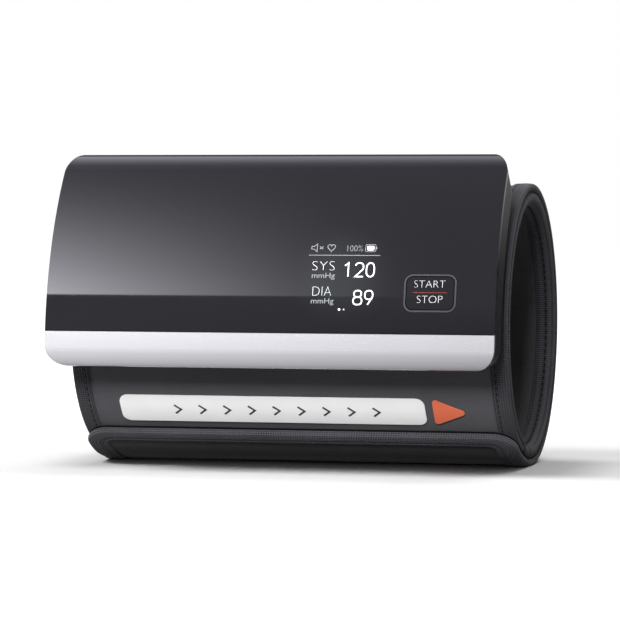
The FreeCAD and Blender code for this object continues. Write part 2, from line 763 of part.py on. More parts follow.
hem = Piece("flap_binding", "cuff")
hem.extrude(hem.band(("dip", "flap_out"), ("dip", "flap_in"), "flap_low", "flap_high"), "cuff_width")
flap_corner(hem, "cuff_width / 2", "flap_high", "flap_corner")
hem.extrude(hem.band(("dip", f"flap_out + {PAST}"), ("dip", f"flap_in - {PAST}"),
                     f"flap_low - {PAST}", "flap_high - hem_turn"),
            "cuff_width - 2 * binding_width", cut=True)
FLAP_SLOT = (("dip", "flap_out - binding_fold + slot_fit"), ("dip", "flap_in + binding_fold - slot_fit"))
hem.extrude(hem.band(*FLAP_SLOT, f"flap_low - {PAST}", "flap_high - web_turn + fit_turn"),
            "2 * (cover_half + slot_fit)", cut=True)
hem.place()

hook = Piece("hook_patch", "cuff")
hook.extrude(hook.band(("dip", "flap_in + binding_fold - slot_fit"), ("dip", "flap_in"),
                       "flap_low + 2 * web_turn", "flap_high - hem_turn - 2 * web_turn"),
             "cuff_width - 2 * binding_width - 2 * hook_margin")
hook.place()

# Label strip and arrow patch on the cover
label = Piece("label_strip", "cuff")
label_length = "label_right - label_left"
label.extrude(label.band(("dip", "print_out"), ("dip", "print_in"), "print_low", "print_top", "label_left"),
              label_length, both=False)


def label_post(first, last):
    """An edge as short as the label is thick, which stands at one of its ends."""
    at_end = any(abs(first.x - number(end)) < TINY for end in ("label_left", "label_right"))
    return at_end and abs(first.x - last.x) < TINY and (last - first).Length < 2 * number("print_thickness")


label.fillet("label_corner", label_post)
label.place()

arrow_sheet = Piece("arrow_sheet", "cuff")
arrow_sheet.extrude(arrow_sheet.band(("dip", "print_out"), ("dip", "print_in"), "print_low", "print_top",
                                     "arrow_left"), "arrow_tip - arrow_left", both=False)
arrow_prism = Piece("arrow_prism", "cuff")
triangle = arrow_prism.sketch("XY_Plane")
triangle.AttachmentOffset = Placement(Vector(), Rotation(Vector(1, 0, 0), 1))
bind(triangle, "AttachmentOffset.Rotation.Angle", "90 - print_mid")
bind(triangle, "AttachmentOffset.Base.y", "dip_y")
bind(triangle, "AttachmentOffset.Base.z", "dip_z")
HALF_RISE = "print_out * sin((print_top - print_low) / 2)"
tips = [
    Vector(number("arrow_left"), -number(HALF_RISE), 0),
    Vector(number("arrow_tip"), 0, 0),
    Vector(number("arrow_left"), number(HALF_RISE), 0),
]
for start, stop in zip(tips, tips[1:] + tips[:1]):
    triangle.addGeometry(Part.LineSegment(start, stop), False)
arrow_prism.constrain(triangle, [
    ("Coincident", (0, 2, 1, 1), None),
    ("Coincident", (1, 2, 2, 1), None),
    ("Coincident", (2, 2, 0, 1), None),
    ("Vertical", (2,), None),
    ("DistanceX", (-1, 1, 0, 1), "arrow_left"),
    ("DistanceY", (0, 1, -1, 1), HALF_RISE),
    ("DistanceY", (-1, 1, 1, 2), HALF_RISE),
    ("DistanceX", (-1, 1, 0, 2), "arrow_tip"),
    ("PointOnObject", (0, 2, -1), None),
])
arrow_prism.extrude(triangle, "cuff_radius + layer_thickness", both=False)


def prism_edge(first, last):
    """One of the three long edges of the prism."""
    return abs(first.x - last.x) < TINY and (last - first).Length > 2 * number(HALF_RISE)


arrow_prism.fillet("arrow_corner", prism_edge)
arrow = doc.addObject("Part::MultiCommon", "arrow_patch")
arrow.Shapes = [arrow_sheet.body, arrow_prism.body]
arrow.Label = "arrow_patch"
for letter, formula in zip("xyz", FRAMES["cuff"]["place"]):
    bind(arrow, f"Placement.Base.{letter}", formula)
nodes.remove(arrow_sheet.body)
nodes.remove(arrow_prism.body)
nodes.append(arrow)

# Front lens: a curved sheet with a lip over the top edge
RING_X = ("key_x - ring_width / 2", "key_x + ring_width / 2")
lens = Piece("front_lens", "unit")
lens.extrude(lens.band(("bow", "front_radius"), ("bow", "front_radius - lens_lip"),
                       "band_top + seam_turn", "end_high"), "unit_width")
lens.extrude(lens.band(("bow", "panel_in"), ("bow", f"front_radius - lens_lip - {PAST}"),
                       f"band_top - {PAST}", "end_high - lip_turn"), f"unit_width + {2 * PAST}", cut=True)
lens.fillet_line("top_round - panel_thickness", "panel_in", "end_high - lip_turn")
lens.fillet_line("top_round", "front_radius", "end_high")
lens.corners("end_high", "top_corner", 1)
lens.box((f"{RING_X[0]} - seat_fit", f"{RING_X[1]} + seat_fit"),
         ("-ring_height / 2 - seat_fit", "ring_height / 2 + seat_fit"),
         ("back_radius", f"front_radius + {PAST}"), cut=True)
lens.fillet_posts("ring_corner", (f"{RING_X[0]} - seat_fit", f"{RING_X[1]} + seat_fit"),
                  v_half="ring_height / 2 + seat_fit")
lens.place()

# Chin trim: the silver band with its rounded lower edge
trim = Piece("chin_trim", "unit")
trim.extrude(trim.band(("bow", "front_radius"), ("bow", "front_radius - trim_lip"),
                       "end_low", "band_top - seam_turn"), "unit_width")
trim.extrude(trim.band(("bow", "panel_in"), ("bow", f"front_radius - trim_lip - {PAST}"),
                       "end_low + lip_turn", f"band_top + {PAST}"), f"unit_width + {2 * PAST}", cut=True)
trim.fillet_line("chin_round - panel_thickness", "panel_in", "end_low + lip_turn")
trim.fillet_line("chin_round", "front_radius", "end_low")
trim.corners("end_low", "chin_corner", -1)
trim.place()

# Front shell: carries lens and trim, holds the board on posts
BOARD_SCREWS = [
    (f"{side} * (board_half - board_screw_inset)", edge)
    for side in (-1, 1) for edge in ("board_low + board_screw_inset", "board_high - board_screw_inset")
]
HOUSING_SCREWS = [
    (f"{side} * (unit_width / 2 - housing_screw_inset)", place)
    for side in (-1, 1) for place in ("housing_screw_low", "housing_screw_high")
]
# Posts end inside the front wall
POST_SINK = 0.75
WALL_MIDDLE = f"(room_radius + {POST_SINK} * front_wall)"

front = Piece("front_shell", "unit")
front.extrude(front.band(("bow", "seat_radius"), ("bow", "split_radius"), "end_low", "end_high"),
              "unit_width")
front.extrude(front.band(("bow", "front_radius"), ("bow", "front_radius - lens_lip - seat_fit"),
                         "end_high - lip_turn - fit_turn", f"end_high + {PAST}"),
              f"unit_width + {2 * PAST}", cut=True)
front.fillet_line("top_round - panel_thickness - seat_fit", "seat_radius", "end_high - lip_turn - fit_turn")
front.extrude(front.band(("bow", "front_radius"), ("bow", "front_radius - trim_lip - seat_fit"),
                         f"end_low - {PAST}", "end_low + lip_turn + fit_turn"),
              f"unit_width + {2 * PAST}", cut=True)
front.fillet_line("chin_round - panel_thickness - seat_fit", "seat_radius", "end_low + lip_turn + fit_turn")
front.extrude(front.band(("bow", "room_radius"), ("bow", f"split_radius - {PAST}"), "room_low", "room_high"),
              "2 * room_half", cut=True)
front.fillet_posts("top_corner - shell_wall", ("-room_half", "room_half"), planes=("room_high",))
front.fillet_posts("chin_corner - shell_wall", ("-room_half", "room_half"), planes=("room_low",))
front.corners("end_high", "top_corner", 1)
front.corners("end_low", "chin_corner", -1)
for x, v in BOARD_SCREWS:
    top = f"sqrt({WALL_MIDDLE} ^ 2 - (abs({v}) + post_radius) ^ 2)"
    front.cylinder("w", (x, v), ("board_top", top), "post_radius")
    front.cylinder("w", (x, v), (f"board_top - {PAST}", "board_base + board_screw_length + screw_fit"),
                   "board_screw_radius + screw_fit", cut=True)
for x, v in HOUSING_SCREWS:
    base = f"sqrt(split_radius ^ 2 - (abs({v}) - housing_post) ^ 2) + screw_fit"
    top = f"sqrt({WALL_MIDDLE} ^ 2 - (abs({v}) + housing_post) ^ 2)"
    tip = f"sqrt(back_radius ^ 2 - ({v}) ^ 2) + housing_head + housing_screw_length"
    front.cylinder("w", (x, v), (base, top), "housing_post")
    front.cylinder("w", (x, v), ("axis_w", f"{tip} + screw_fit"),
                   "housing_screw_radius + screw_fit", cut=True)
front.box(("display_x - display_width / 2 - display_gap", "display_x + display_width / 2 + display_gap"),
          ("display_v - display_height / 2 - display_gap", "display_v + display_height / 2 + display_gap"),
          ("board_top", "front_radius"), cut=True)
front.box(("key_x - key_width / 2 - key_gap", "key_x + key_width / 2 + key_gap"),
          ("-key_height / 2 - key_gap", "key_height / 2 + key_gap"), ("board_top", "front_radius"), cut=True)
front.box((f"-unit_width / 2 - {PAST}", f"-room_half + {PAST}"),
          ("socket_v - socket_width / 2 - port_fit", "socket_v + socket_width / 2 + port_fit"),
          ("board_top + stack_gap - port_fit", "board_top + stack_gap + socket_height + port_fit"), cut=True)
front.place()

# Rear shell: back plate, neck that reaches the cuff, and bosses for the anchor screws
rear = Piece("rear_shell", "unit")
rear.extrude(rear.band(("bow", "split_radius - seam / 2"), ("bow", "back_radius"), "end_low", "end_high"),
             "unit_width")
rear.corners("end_high", "top_corner", 1)
rear.corners("end_low", "chin_corner", -1)
rear.extrude(rear.band(("bow", f"back_radius + {PAST}"), ("axis", "saddle_radius"),
                       "end_low + neck_turn", "end_high - neck_turn"), "2 * neck_half")
rear.extrude(rear.band(("bow", "front_radius"), ("axis", "floor_radius"),
                       "end_low + neck_turn + wall_turn", "end_high - neck_turn - wall_turn"),
             "2 * (neck_half - shell_wall)", cut=True)
for x, v in ANCHOR_SCREWS:
    rear.cylinder("w", (x, v), ("anchor_boss_base", "anchor_boss_top"), "anchor_boss")
    rear.cylinder("w", (x, v), ("anchor_seat_w", f"anchor_boss_top + {PAST}"),
                  "anchor_screw_radius + screw_fit", cut=True)
for x, v in HOUSING_SCREWS:
    seat = f"sqrt(back_radius ^ 2 - ({v}) ^ 2) + housing_head"
    rear.cylinder("w", (x, v), ("axis_w", "front_radius"), "housing_screw_radius + port_fit", cut=True)
    rear.cylinder("w", (x, v), ("axis_w", seat), "housing_head_radius + seat_fit", cut=True)
rear.cylinder("w", ("port_x", "port_v"), ("axis_w", "board_base"), "port_radius + port_fit", cut=True)
rear.place()

housing_screws = Piece("housing_screws", "unit")
for x, v in HOUSING_SCREWS:
    seat = f"sqrt(back_radius ^ 2 - ({v}) ^ 2) + housing_head"
    housing_screws.cylinder("w", (x, v), (f"{seat} - housing_head", seat), "housing_head_radius")
    housing_screws.cylinder("w", (x, v), (seat, f"{seat} + housing_screw_length"), "housing_screw_radius")
housing_screws.place()

# Key, its ring and the switch
ring = Piece("key_ring", "unit")
RING_HOLE = ("key_x - ring_width / 2 + ring_line", "key_x + ring_width / 2 - ring_line")
ring.box(RING_X, ("-ring_height / 2", "ring_height / 2"), ("seat_radius", f"front_radius + {PAST}"))
ring.box(RING_HOLE, ("-ring_height / 2 + ring_line", "ring_height / 2 - ring_line"),
         ("back_radius", f"front_radius + {2 * PAST}"), cut=True)
ring.fillet_posts("ring_corner - ring_line", RING_HOLE, v_half="ring_height / 2 - ring_line")
ring.fillet_posts("ring_corner", RING_X, v_half="ring_height / 2")
ring.extrude(ring.band(("bow", f"front_radius + {3 * PAST}"), ("bow", "front_radius + ring_proud"),
                       "key_angle - 2 * ring_turn", "key_angle + 2 * ring_turn"), "2 * unit_width", cut=True)
ring.place()

key = Piece("start_key", "unit")
KEY_X = ("key_x - key_width / 2", "key_x + key_width / 2")
key.box(KEY_X, ("-key_height / 2", "key_height / 2"),
        ("flange_in + key_flange / 4", f"front_radius + {PAST}"))
key.fillet_posts("key_corner", KEY_X, v_half="key_height / 2")
key.extrude(key.band(("bow", f"front_radius + {3 * PAST}"), ("bow", "front_radius"),
                     "key_angle - 2 * ring_turn", "key_angle + 2 * ring_turn"), "2 * unit_width", cut=True)
key.box((f"{KEY_X[0]} - key_gap - key_overhang", f"{KEY_X[1]} + key_gap + key_overhang"),
        ("-flange_half", "flange_half"),
        ("flange_in - key_flange / 2", "sqrt(flange_out ^ 2 - flange_half ^ 2)"))
key.cylinder("w", ("key_x", "0"), ("stem_base", "flange_in"), "key_stem")
key.place()

switch = Piece("switch_body", "unit")
switch.box(("key_x - switch_side / 2", "key_x + switch_side / 2"), ("-switch_side / 2", "switch_side / 2"),
           ("board_top", "board_top + switch_body"))
switch.cylinder("w", ("key_x", "0"), ("board_top + switch_floor", "front_radius"),
                "plunger_radius + key_gap", cut=True)
switch.place()

plunger = Piece("switch_plunger", "unit")
plunger.cylinder("w", ("key_x", "0"), ("board_top + switch_floor + 3 * key_gap", "plunger_top"),
                 "plunger_radius")
plunger.place()

# Display and its bracket
DISPLAY_X = ("display_x - display_width / 2", "display_x + display_width / 2")
DISPLAY_V = ("display_v - display_height / 2", "display_v + display_height / 2")
display = Piece("display_panel", "unit")
display.box(DISPLAY_X, DISPLAY_V, ("display_back", "display_front"))
display.place()

bracket = Piece("display_bracket", "unit")
bracket.box((f"{DISPLAY_X[0]} + bracket_wall", f"{DISPLAY_X[1]} - bracket_wall"),
            (f"{DISPLAY_V[0]} + bracket_wall", f"{DISPLAY_V[1]} - bracket_wall"),
            ("board_top", "display_back"))
bracket.box((f"{DISPLAY_X[0]} + 2 * bracket_wall", f"{DISPLAY_X[1]} - 2 * bracket_wall"),
            (f"{DISPLAY_V[0]} + 2 * bracket_wall", f"{DISPLAY_V[1]} - 2 * bracket_wall"),
            (f"board_top - {PAST}", "display_back - bracket_wall"), cut=True)
bracket.place()

# Board, chips, screws, cell, socket and buzzer
board = Piece("main_board", "unit")
board.box(("-board_half", "board_half"), ("board_low", "board_high"), ("board_base", "board_top"))
for x, v in BOARD_SCREWS:
    board.cylinder("w", (x, v), (f"board_base - {PAST}", f"board_top + {PAST}"),
                   "board_screw_radius + screw_fit", cut=True)
board.place()

board_screws = Piece("board_screws", "unit")
for x, v in BOARD_SCREWS:
    board_screws.cylinder("w", (x, v), ("board_base - board_head", "board_base"), "board_head_radius")
    board_screws.cylinder("w", (x, v), ("board_base", "board_base + board_screw_length"),
                          "board_screw_radius")
board_screws.place()

# Chips on the rear of the board: x and v of the middle, then length, width and height
CHIPS = ((18, -6, 7, 7, 1.0), (32, -6, 6, 4, 1.2), (48, 2, 4, 5, 1.0), (48, 14, 5, 3, 1.4))
chips = Piece("board_chips", "unit")
for x, v, length, width, height in CHIPS:
    chips.box((f"{x} - {length} / 2", f"{x} + {length} / 2"), (f"{v} - {width} / 2", f"{v} + {width} / 2"),
              (f"board_base - {height}", "board_base"))
chips.place()

cell = Piece("battery_cell", "unit")
cell.box(("battery_left", "battery_right"), ("battery_low", "battery_high"),
         ("battery_base", "battery_base + battery_thickness"))
cell.place()

socket = Piece("charge_socket", "unit")
SOCKET_X = ("socket_recess - unit_width / 2", "socket_recess - unit_width / 2 + socket_length")
SOCKET_V = ("socket_v - socket_width / 2", "socket_v + socket_width / 2")
socket.box(SOCKET_X, SOCKET_V, ("board_top + stack_gap", "board_top + stack_gap + socket_height"))
socket.box(("-board_half", SOCKET_X[1]), SOCKET_V, ("board_top", "board_top + 2 * stack_gap"))
socket.box((f"{SOCKET_X[0]} - {PAST}", f"{SOCKET_X[1]} - socket_back"),
           (f"{SOCKET_V[0]} + socket_wall", f"{SOCKET_V[1]} - socket_wall"),
           ("board_top + stack_gap + socket_wall", "board_top + stack_gap + socket_height - socket_wall"),
           cut=True)
socket.place()

buzzer = Piece("buzzer", "unit")
buzzer.cylinder("w", ("buzzer_x", "buzzer_v"), ("board_base - buzzer_height", "board_base"), "buzzer_radius")
buzzer.cylinder("w", ("buzzer_x", "buzzer_v"),
                ("board_base - 2 * buzzer_height", "board_base - buzzer_height / 2"), "air_bore", cut=True)
buzzer.place()

# Pump: motor, rotor with crank, head, and the rubber bands that hold it
LINE = ("pump_v", "pump_w")
motor = Piece("pump_motor", "unit")
motor.cylinder("x", LINE, ("pump_left", "motor_right"), "pump_radius")
motor.cylinder("x", LINE, ("pump_left + motor_wall", "motor_right - motor_wall"), "pump_radius - motor_wall",
               cut=True)
motor.cylinder("x", LINE, ("motor_right - 2 * motor_wall", f"motor_right + {PAST}"),
               "shaft_radius + shaft_gap", cut=True)
motor.place()

head = Piece("pump_head", "unit")
head.cylinder("x", LINE, ("head_left", "head_right"), "pump_radius")
head.cylinder("x", LINE, (f"head_left - {PAST}", "head_left + crank_room"),
              "crank_radius + crank_throw + 2 * shaft_gap", cut=True)
head.cylinder("x", LINE, ("head_left + crank_room + 2 * motor_wall", f"head_right + {PAST}"),
              "air_bore", cut=True)
head.place()

rotor = Piece("pump_rotor", "unit")
rotor.cylinder("x", LINE, ("pump_left + 2 * motor_wall + shaft_gap", "head_left + crank_room - motor_wall"),
               "shaft_radius")
rotor.cylinder("x", LINE, ("pump_left + 4 * motor_wall", "motor_right - 4 * motor_wall"), "rotor_radius")
rotor.cylinder("x", ("pump_v + crank_throw", "pump_w"),
               ("head_left + 2 * motor_wall", "head_left + crank_room - 2 * motor_wall"), "crank_radius")
rotor.place()

bands = Piece("pump_bands", "unit")
for start in ("pump_left + pump_band", "head_right - 2 * pump_band"):
    bands.cylinder("x", LINE, (start, f"{start} + pump_band"), "band_radius")
    bands.cylinder("x", LINE, (f"{start} - {PAST}", f"{start} + pump_band + {PAST}"),
                   "pump_radius + slot_fit", cut=True)
bands.place()

# Manifold between pump and valve, with a branch to the port
manifold = Piece("air_manifold", "unit")
manifold.box(("manifold_left", "manifold_right"), ("pump_v - manifold_half", "pump_v + manifold_half"),
             ("manifold_low", "manifold_high"))
manifold.cylinder("v", ("branch_x", "tube_w"), ("pump_v - manifold_half - barb_length", "pump_v"),
                  "barb_radius")
manifold.cylinder("x", LINE, (f"manifold_left - {PAST}", f"manifold_right + {PAST}"), "air_bore", cut=True)
manifold.place()

valve = Piece("valve_body", "unit")
valve.cylinder("x", LINE, ("valve_left", "valve_right"), "valve_radius")
valve.cylinder("x", LINE, (f"valve_left - {PAST}", "valve_right - 4 * motor_wall"),
               "valve_plunger + shaft_gap", cut=True)
valve.place()

valve_plunger = Piece("valve_plunger", "unit")
PLUNGER_END = "valve_right - 4 * motor_wall - valve_stroke - shaft_gap"
valve_plunger.cylinder("x", LINE, ("valve_left + 2 * motor_wall", PLUNGER_END), "valve_plunger")
valve_plunger.place()

# Port fitting through the floor and the cuff to the bladder, with barbs for both tubes
port = Piece("cuff_port", "unit")
port.cylinder("w", ("port_x", "port_v"), ("port_shoulder", "tube_w + port_body"), "port_body")
port.cylinder("w", ("port_x", "port_v"), ("port_tip", "tube_w"), "port_radius")
port.cylinder("x", ("port_v", "tube_w"), ("port_x - port_body - barb_length", "port_x"), "barb_radius")
port.cylinder("x", ("port_v", "tube_w"), ("port_x", "port_x + port_body + barb_length / 2"), "barb_radius")
port.cylinder("w", ("port_x", "port_v"), (f"port_tip - {PAST}", "tube_w - barb_radius"), "air_bore",
              cut=True)
port.place()

sensor = Piece("pressure_sensor", "unit")
sensor.box(("sensor_left", "sensor_left + sensor_side"),
           ("port_v - sensor_side / 2", "port_v + sensor_side / 2"),
           ("board_base - sensor_height", "board_base"))
sensor.cylinder("x", ("port_v", "tube_w"),
                ("sensor_left - barb_length / 2", "sensor_left + sensor_side / 2"), "barb_radius")
sensor.place()

sensor_tube = Piece("sensor_tube", "unit")
sensor_tube.cylinder("x", ("port_v", "tube_w"), ("port_x + port_body + line_gap", "sensor_left - line_gap"),
                     "tube_radius")
sensor_tube.cylinder("x", ("port_v", "tube_w"), ("port_x", f"sensor_left + {PAST}"), "air_bore", cut=True)
sensor_tube.place()

# Air tube: straight down from the manifold, one bend, then along to the port
air_tube = Piece("air_tube", "unit")
TUBE_TOP = "pump_v - manifold_half - line_gap"
TUBE_END = "port_x - port_body - line_gap"
mouth = air_tube.sketch("XZ_Plane", f"-({TUBE_TOP})")
mouth_at = Vector(number("branch_x"), number("tube_w"), 0)
for radius in ("tube_radius", "air_bore"):
    mouth.addGeometry(Part.Circle(mouth_at, Vector(0, 0, 1), number(radius)), False)
air_tube.constrain(mouth, [
    ("DistanceX", (-1, 1, 0, 3), "branch_x"),
    ("DistanceY", (-1, 1, 0, 3), "tube_w"),
    ("Coincident", (1, 3, 0, 3), None),
    ("Radius", (0,), "tube_radius"),
    ("Radius", (1,), "air_bore"),
])
route = air_tube.sketch("XY_Plane", "tube_w")
top_point = Vector(number("branch_x"), number(TUBE_TOP), 0)
bend_point = Vector(number("branch_x"), number("port_v + tube_bend"), 0)
bend_hub = bend_point + Vector(number("tube_bend"), 0, 0)
low_point = Vector(bend_hub.x, number("port_v"), 0)
end_point = Vector(number(TUBE_END), number("port_v"), 0)
route.addGeometry(Part.LineSegment(top_point, bend_point), False)
bend_circle = Part.Circle(bend_hub, Vector(0, 0, 1), number("tube_bend"))
route.addGeometry(Part.ArcOfCircle(bend_circle, math.pi, 1.5 * math.pi), False)
route.addGeometry(Part.LineSegment(low_point, end_point), False)
air_tube.constrain(route, [
    ("Tangent", (0, 2, 1, 1), None),
    ("Tangent", (1, 2, 2, 1), None),
    ("Vertical", (0,), None),
    ("Horizontal", (2,), None),
    ("DistanceX", (-1, 1, 0, 1), "branch_x"),
    ("DistanceY", (-1, 1, 0, 1), TUBE_TOP),
    ("Radius", (1,), "tube_bend"),
    ("DistanceX", (-1, 1, 2, 2), TUBE_END),
    ("DistanceY", (-1, 1, 2, 2), "port_v"),
])
doc.recompute()
hose = air_tube.new("PartDesign::AdditivePipe", "hose")
hose.Profile = mouth
hose.Spine = (route, [f"Edge{index}" for index in (1, 2, 3)])
air_tube.finish(hose, False)
air_tube.place()

# Check every object, then write one file for each sub-part
doc.removeObject(probe.Name)
doc.recompute()
for thing in doc.Objects:
    if any(word in thing.State for word in ("Invalid", "Error")):
        raise RuntimeError(f"{thing.Name}: {thing.State}")
for node in nodes:
    if node.Shape.isNull() or not node.Shape.isValid():
        raise RuntimeError(f"{node.Label}: bad shape")

os.makedirs("parts", exist_ok=True)
for node in nodes:
    node.Shape.exportStep(f"parts/{node.Label}.step")
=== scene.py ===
"""Looks of a wrap-around arm blood pressure monitor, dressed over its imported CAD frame."""

import json
from math import asin, ceil, copysign, cos, degrees, dist, exp, pi, radians, sin, sqrt, tan

import bmesh
import bpy
import numpy as np
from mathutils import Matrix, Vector, noise


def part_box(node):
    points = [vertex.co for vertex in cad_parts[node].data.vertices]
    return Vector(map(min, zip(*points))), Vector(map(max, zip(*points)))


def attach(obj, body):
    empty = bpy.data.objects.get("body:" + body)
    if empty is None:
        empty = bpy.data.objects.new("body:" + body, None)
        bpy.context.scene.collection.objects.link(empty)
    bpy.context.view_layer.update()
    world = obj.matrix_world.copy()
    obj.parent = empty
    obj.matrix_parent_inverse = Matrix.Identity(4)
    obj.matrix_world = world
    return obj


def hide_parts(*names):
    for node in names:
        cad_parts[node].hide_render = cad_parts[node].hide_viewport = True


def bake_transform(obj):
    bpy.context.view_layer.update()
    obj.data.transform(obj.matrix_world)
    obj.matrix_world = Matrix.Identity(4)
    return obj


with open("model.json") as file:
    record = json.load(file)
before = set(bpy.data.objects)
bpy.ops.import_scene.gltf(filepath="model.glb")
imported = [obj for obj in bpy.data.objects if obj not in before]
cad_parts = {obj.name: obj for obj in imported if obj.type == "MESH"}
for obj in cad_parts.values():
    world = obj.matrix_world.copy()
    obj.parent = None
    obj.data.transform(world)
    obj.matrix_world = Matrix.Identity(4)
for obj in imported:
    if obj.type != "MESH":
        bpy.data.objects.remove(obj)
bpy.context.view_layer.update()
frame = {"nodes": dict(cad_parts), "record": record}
NODES = frame["nodes"]
MOUNTS = {mount["name"]: mount for mount in frame["record"]["mounts"]}

# Lengths are millimetres and angles degrees, until a mesh is made.
# An angle is taken from the front horizontal, up positive.
MM = 0.001
ARM_X, ARM_Y, ARM_Z = (value / MM for value in MOUNTS["arm_bore"]["pos_m"])
ARM = (ARM_Y, ARM_Z)
HALF_WIDTH = MOUNTS["arm_bore"]["dims"]["length_mm"] / 2

# Wrap: cover, edge tape and tucked tail
COVER_RADIUS = 47.7
COVER_THICKNESS = 1.6
COVER_INSET = 1.0
TAPE_THICKNESS = 0.5
TAPE_WIDTH = 6.0
TAPE_EDGE = 1.3
TAPE_SQUARE = 0.72
TAPE_PUFF = 0.1
TAPE_RAW_EDGE = 0.6
TAPE_ROUND = 0.03
WRAP_END = 280
TAIL_START = -10
TAIL_END = -72
TAIL_SHIFT = 4.83
TAIL_RADIUS = COVER_RADIUS - TAIL_SHIFT
TAIL_HEM_RISE = 0.3
TAIL_HEM_WALL = 0.25
TAIL_HEM_PAST = 0.5

# Flap over the tail, with its hem, a dark cord under its edge as painted shadow, and its hook patch
FLAP_RADIUS = 46.32
FLAP_ROOT = -85.14
FLAP_TIP = -50.5
FLAP_LENGTH = radians(FLAP_TIP - FLAP_ROOT) * FLAP_RADIUS
FLAP_CORNER = 8.0
FLAP_TUCK = 0.6
FLAP_BEND = 7.0
ROOT_LIFT = 0.45
ROOT_RUN = 4.0
PANEL_INSET = 3.0
PANEL_SLACK_START = 40
PANEL_SLACK_WIDTH = 0.9
HEM_TIP = 5.3
HEM_SIDE = 7.5
HEM_CORNER = 3.0
# The dark cord under the flap's edge, which paints the shadow there: its radius, tuck and drop
SHADOW_CORD_RADIUS = 0.35
SHADOW_CORD_TUCK = 0.3
SHADOW_CORD_DROP = 0.1
HOOK_ENDS = (2.0, 20.5)
HOOK_TOP = -2.15
HOOK_BOTTOM = -2.6
HOOK_RIDGE = 0.22

# Sleeve inside the wrap, open along one slit
SLEEVE_RADIUS = 43.0
SLEEVE_DEPTH = 2.6
SLEEVE_FIRST = -83
SLEEVE_LAST = 275
BLADDER_END = 5
RIM_RISE = 2.2
RIM_GAP = 0.3
RIM_PAST_TAIL = -68.0
RIM_RAMP = 5.0
RIM_WIDTH = 6.5
RIM_EDGE = 5.5
RIM_STITCH = 2.9
RIM_STITCH_RISE = 0.25
RIM_THREAD = 0.28
LAYER_INSET = 2.6

# Bowed front of the unit
FRONT = (ARM_Y + 33.972, ARM_Z - 11.976)
FRONT_RADIUS = 102.0
MARK_DEPTH = 0.06
MITRE_LIMIT = 0.4
# Where the strip of painted shadow over the lens's joint lies, and its size
SEAM_ANGLE = 6.45
SEAM_WIDTH = 0.42
SEAM_END = 0.05

# Label on the tail
LABEL_RADIUS = 43.27
LABEL_ANGLE = -39.0
LABEL_MARK_DEPTH = 0.05
CHEVRON_COUNT = 9
CHEVRON_START = 19
CHEVRON_PITCH = 8.6
CHEVRON_REACH = 2.2
CHEVRON_RISE = 1.9
CHEVRON_STROKE = 0.7

# Thread
STITCH_PITCH = 2.4
STITCH_LENGTH = 1.5
STITCH_RADIUS = 0.2
STITCH_MARGIN = 1.6
STITCH_DIP = 0.14
STITCH_DIP_WIDTH = 0.5
THREAD_SIDES = 6
WRAP_SEAM_END = 3
SLEEVE_SEAM_END = 2
FLAP_SEAM_END = 1

# Unevenness of the cloth, and the steps of its mesh
SLACK_ALONG = 26
SLACK_ACROSS = 34
SLACK_SEED = 3.7
SLACK_DEPTH = 0.09
PUCKER_INSET = 0.9
PUCKER_WIDTH = 1.3
PUCKER_DEPTH = 0.16
CLOTH_STEP = 1.5
CLOTH_STRETCH = 1.3
BACK_POINTS = 12


# Meshes


def put(name, data):
    """A new object in the scene."""
    thing = bpy.data.objects.new(name, data)
    bpy.context.scene.collection.objects.link(thing)
    return thing


class Skin:
    """Gathers points in millimetres, faces and cloth coordinates, and makes one piece of them."""

    def __init__(self):
        self.points = []
        self.faces = []
        self.cloth = []

    def grid(self, rows, cloth, ringed=False):
        """An open sheet through rows of points, or through rings of them."""
        size = len(rows[0])
        for row, places in zip(rows, cloth):
            self.points += [tuple(point) for point in row]
            self.cloth += [(*place, 0) for place in places]
        for near in range(len(self.points) - len(rows) * size, len(self.points) - size, size):
            far = near + size
            for index in range(size if ringed else size - 1):
                following = (index + 1) % size
                self.faces.append((near + index, near + following, far + following, far + index))

    def loft(self, rings, along, around):
        """A closed skin through equal rings of points."""
        first = len(self.points)
        self.grid(rings, [[(length, width) for width in around] for length in along], ringed=True)
        size = len(rings[0])
        last = len(self.points) - size
        self.faces.append(tuple(range(first, first + size))[::-1])
        self.faces.append(tuple(range(last, last + size)))
        return self

    def solid(self, points, faces):
        """A ready closed form."""
        base = len(self.points)
        self.points += [tuple(point) for point in points]
        self.cloth += [(point[0], point[2], 0) for point in points]
        self.faces += [tuple(base + index for index in face) for face in faces]

    def make(self, name, material, smooth=40, closed=True):
        """The piece; its edges stay sharp where the faces turn by more than the smooth angle."""
        mesh = bpy.data.meshes.new(name)
        mesh.from_pydata([Vector(point) * MM for point in self.points], [], self.faces)
        attribute = mesh.attributes.new("cloth", "FLOAT_VECTOR", "POINT")
        attribute.data.foreach_set("vector", np.array(self.cloth, np.float32).ravel())
        if closed:
            work = bmesh.new()
            work.from_mesh(mesh)
            bmesh.ops.recalc_face_normals(work, faces=work.faces)
            work.to_mesh(mesh)
            work.free()
        mesh.shade_smooth()
        mesh.set_sharp_from_angle(angle=radians(smooth))
        mesh.materials.append(material)
        return put(name, mesh)


def swing(centre, reach, angle):
    """The place, back and up, at a reach from a centre and an angle in radians."""
    y, z = centre
    return y - reach * cos(angle), z + reach * sin(angle)


def arc(centre, radius, first, last):
    """Stations along an arc: its centre, its radius and the angle in radians."""
    count = ceil(abs(radians(last - first)) * radius / CLOTH_STEP) + 1
    return [(centre, radius, radians(angle)) for angle in np.linspace(first, last, count)]


def place(station, x, height):
    """The point at a station, across the cuff and over the arc; the cloth lies flat where it rests."""
    centre, radius, angle = station
    y, z = swing(centre, radius + height, angle)
    return (ARM_X + x, y, max(z, 0))


def run_of(points):
    """Length along a row of points, at each of them."""
    steps = [dist(first, second) for first, second in zip(points, points[1:])]
    return np.concatenate([[0], np.cumsum(steps)])


def lengths(line):
    """Length along a line of stations, at each of them."""
    return run_of([place(station, 0, 0) for station in line])


def full_turn(count):
    """Even angles once round."""
    return [2 * pi * index / count for index in range(count)]


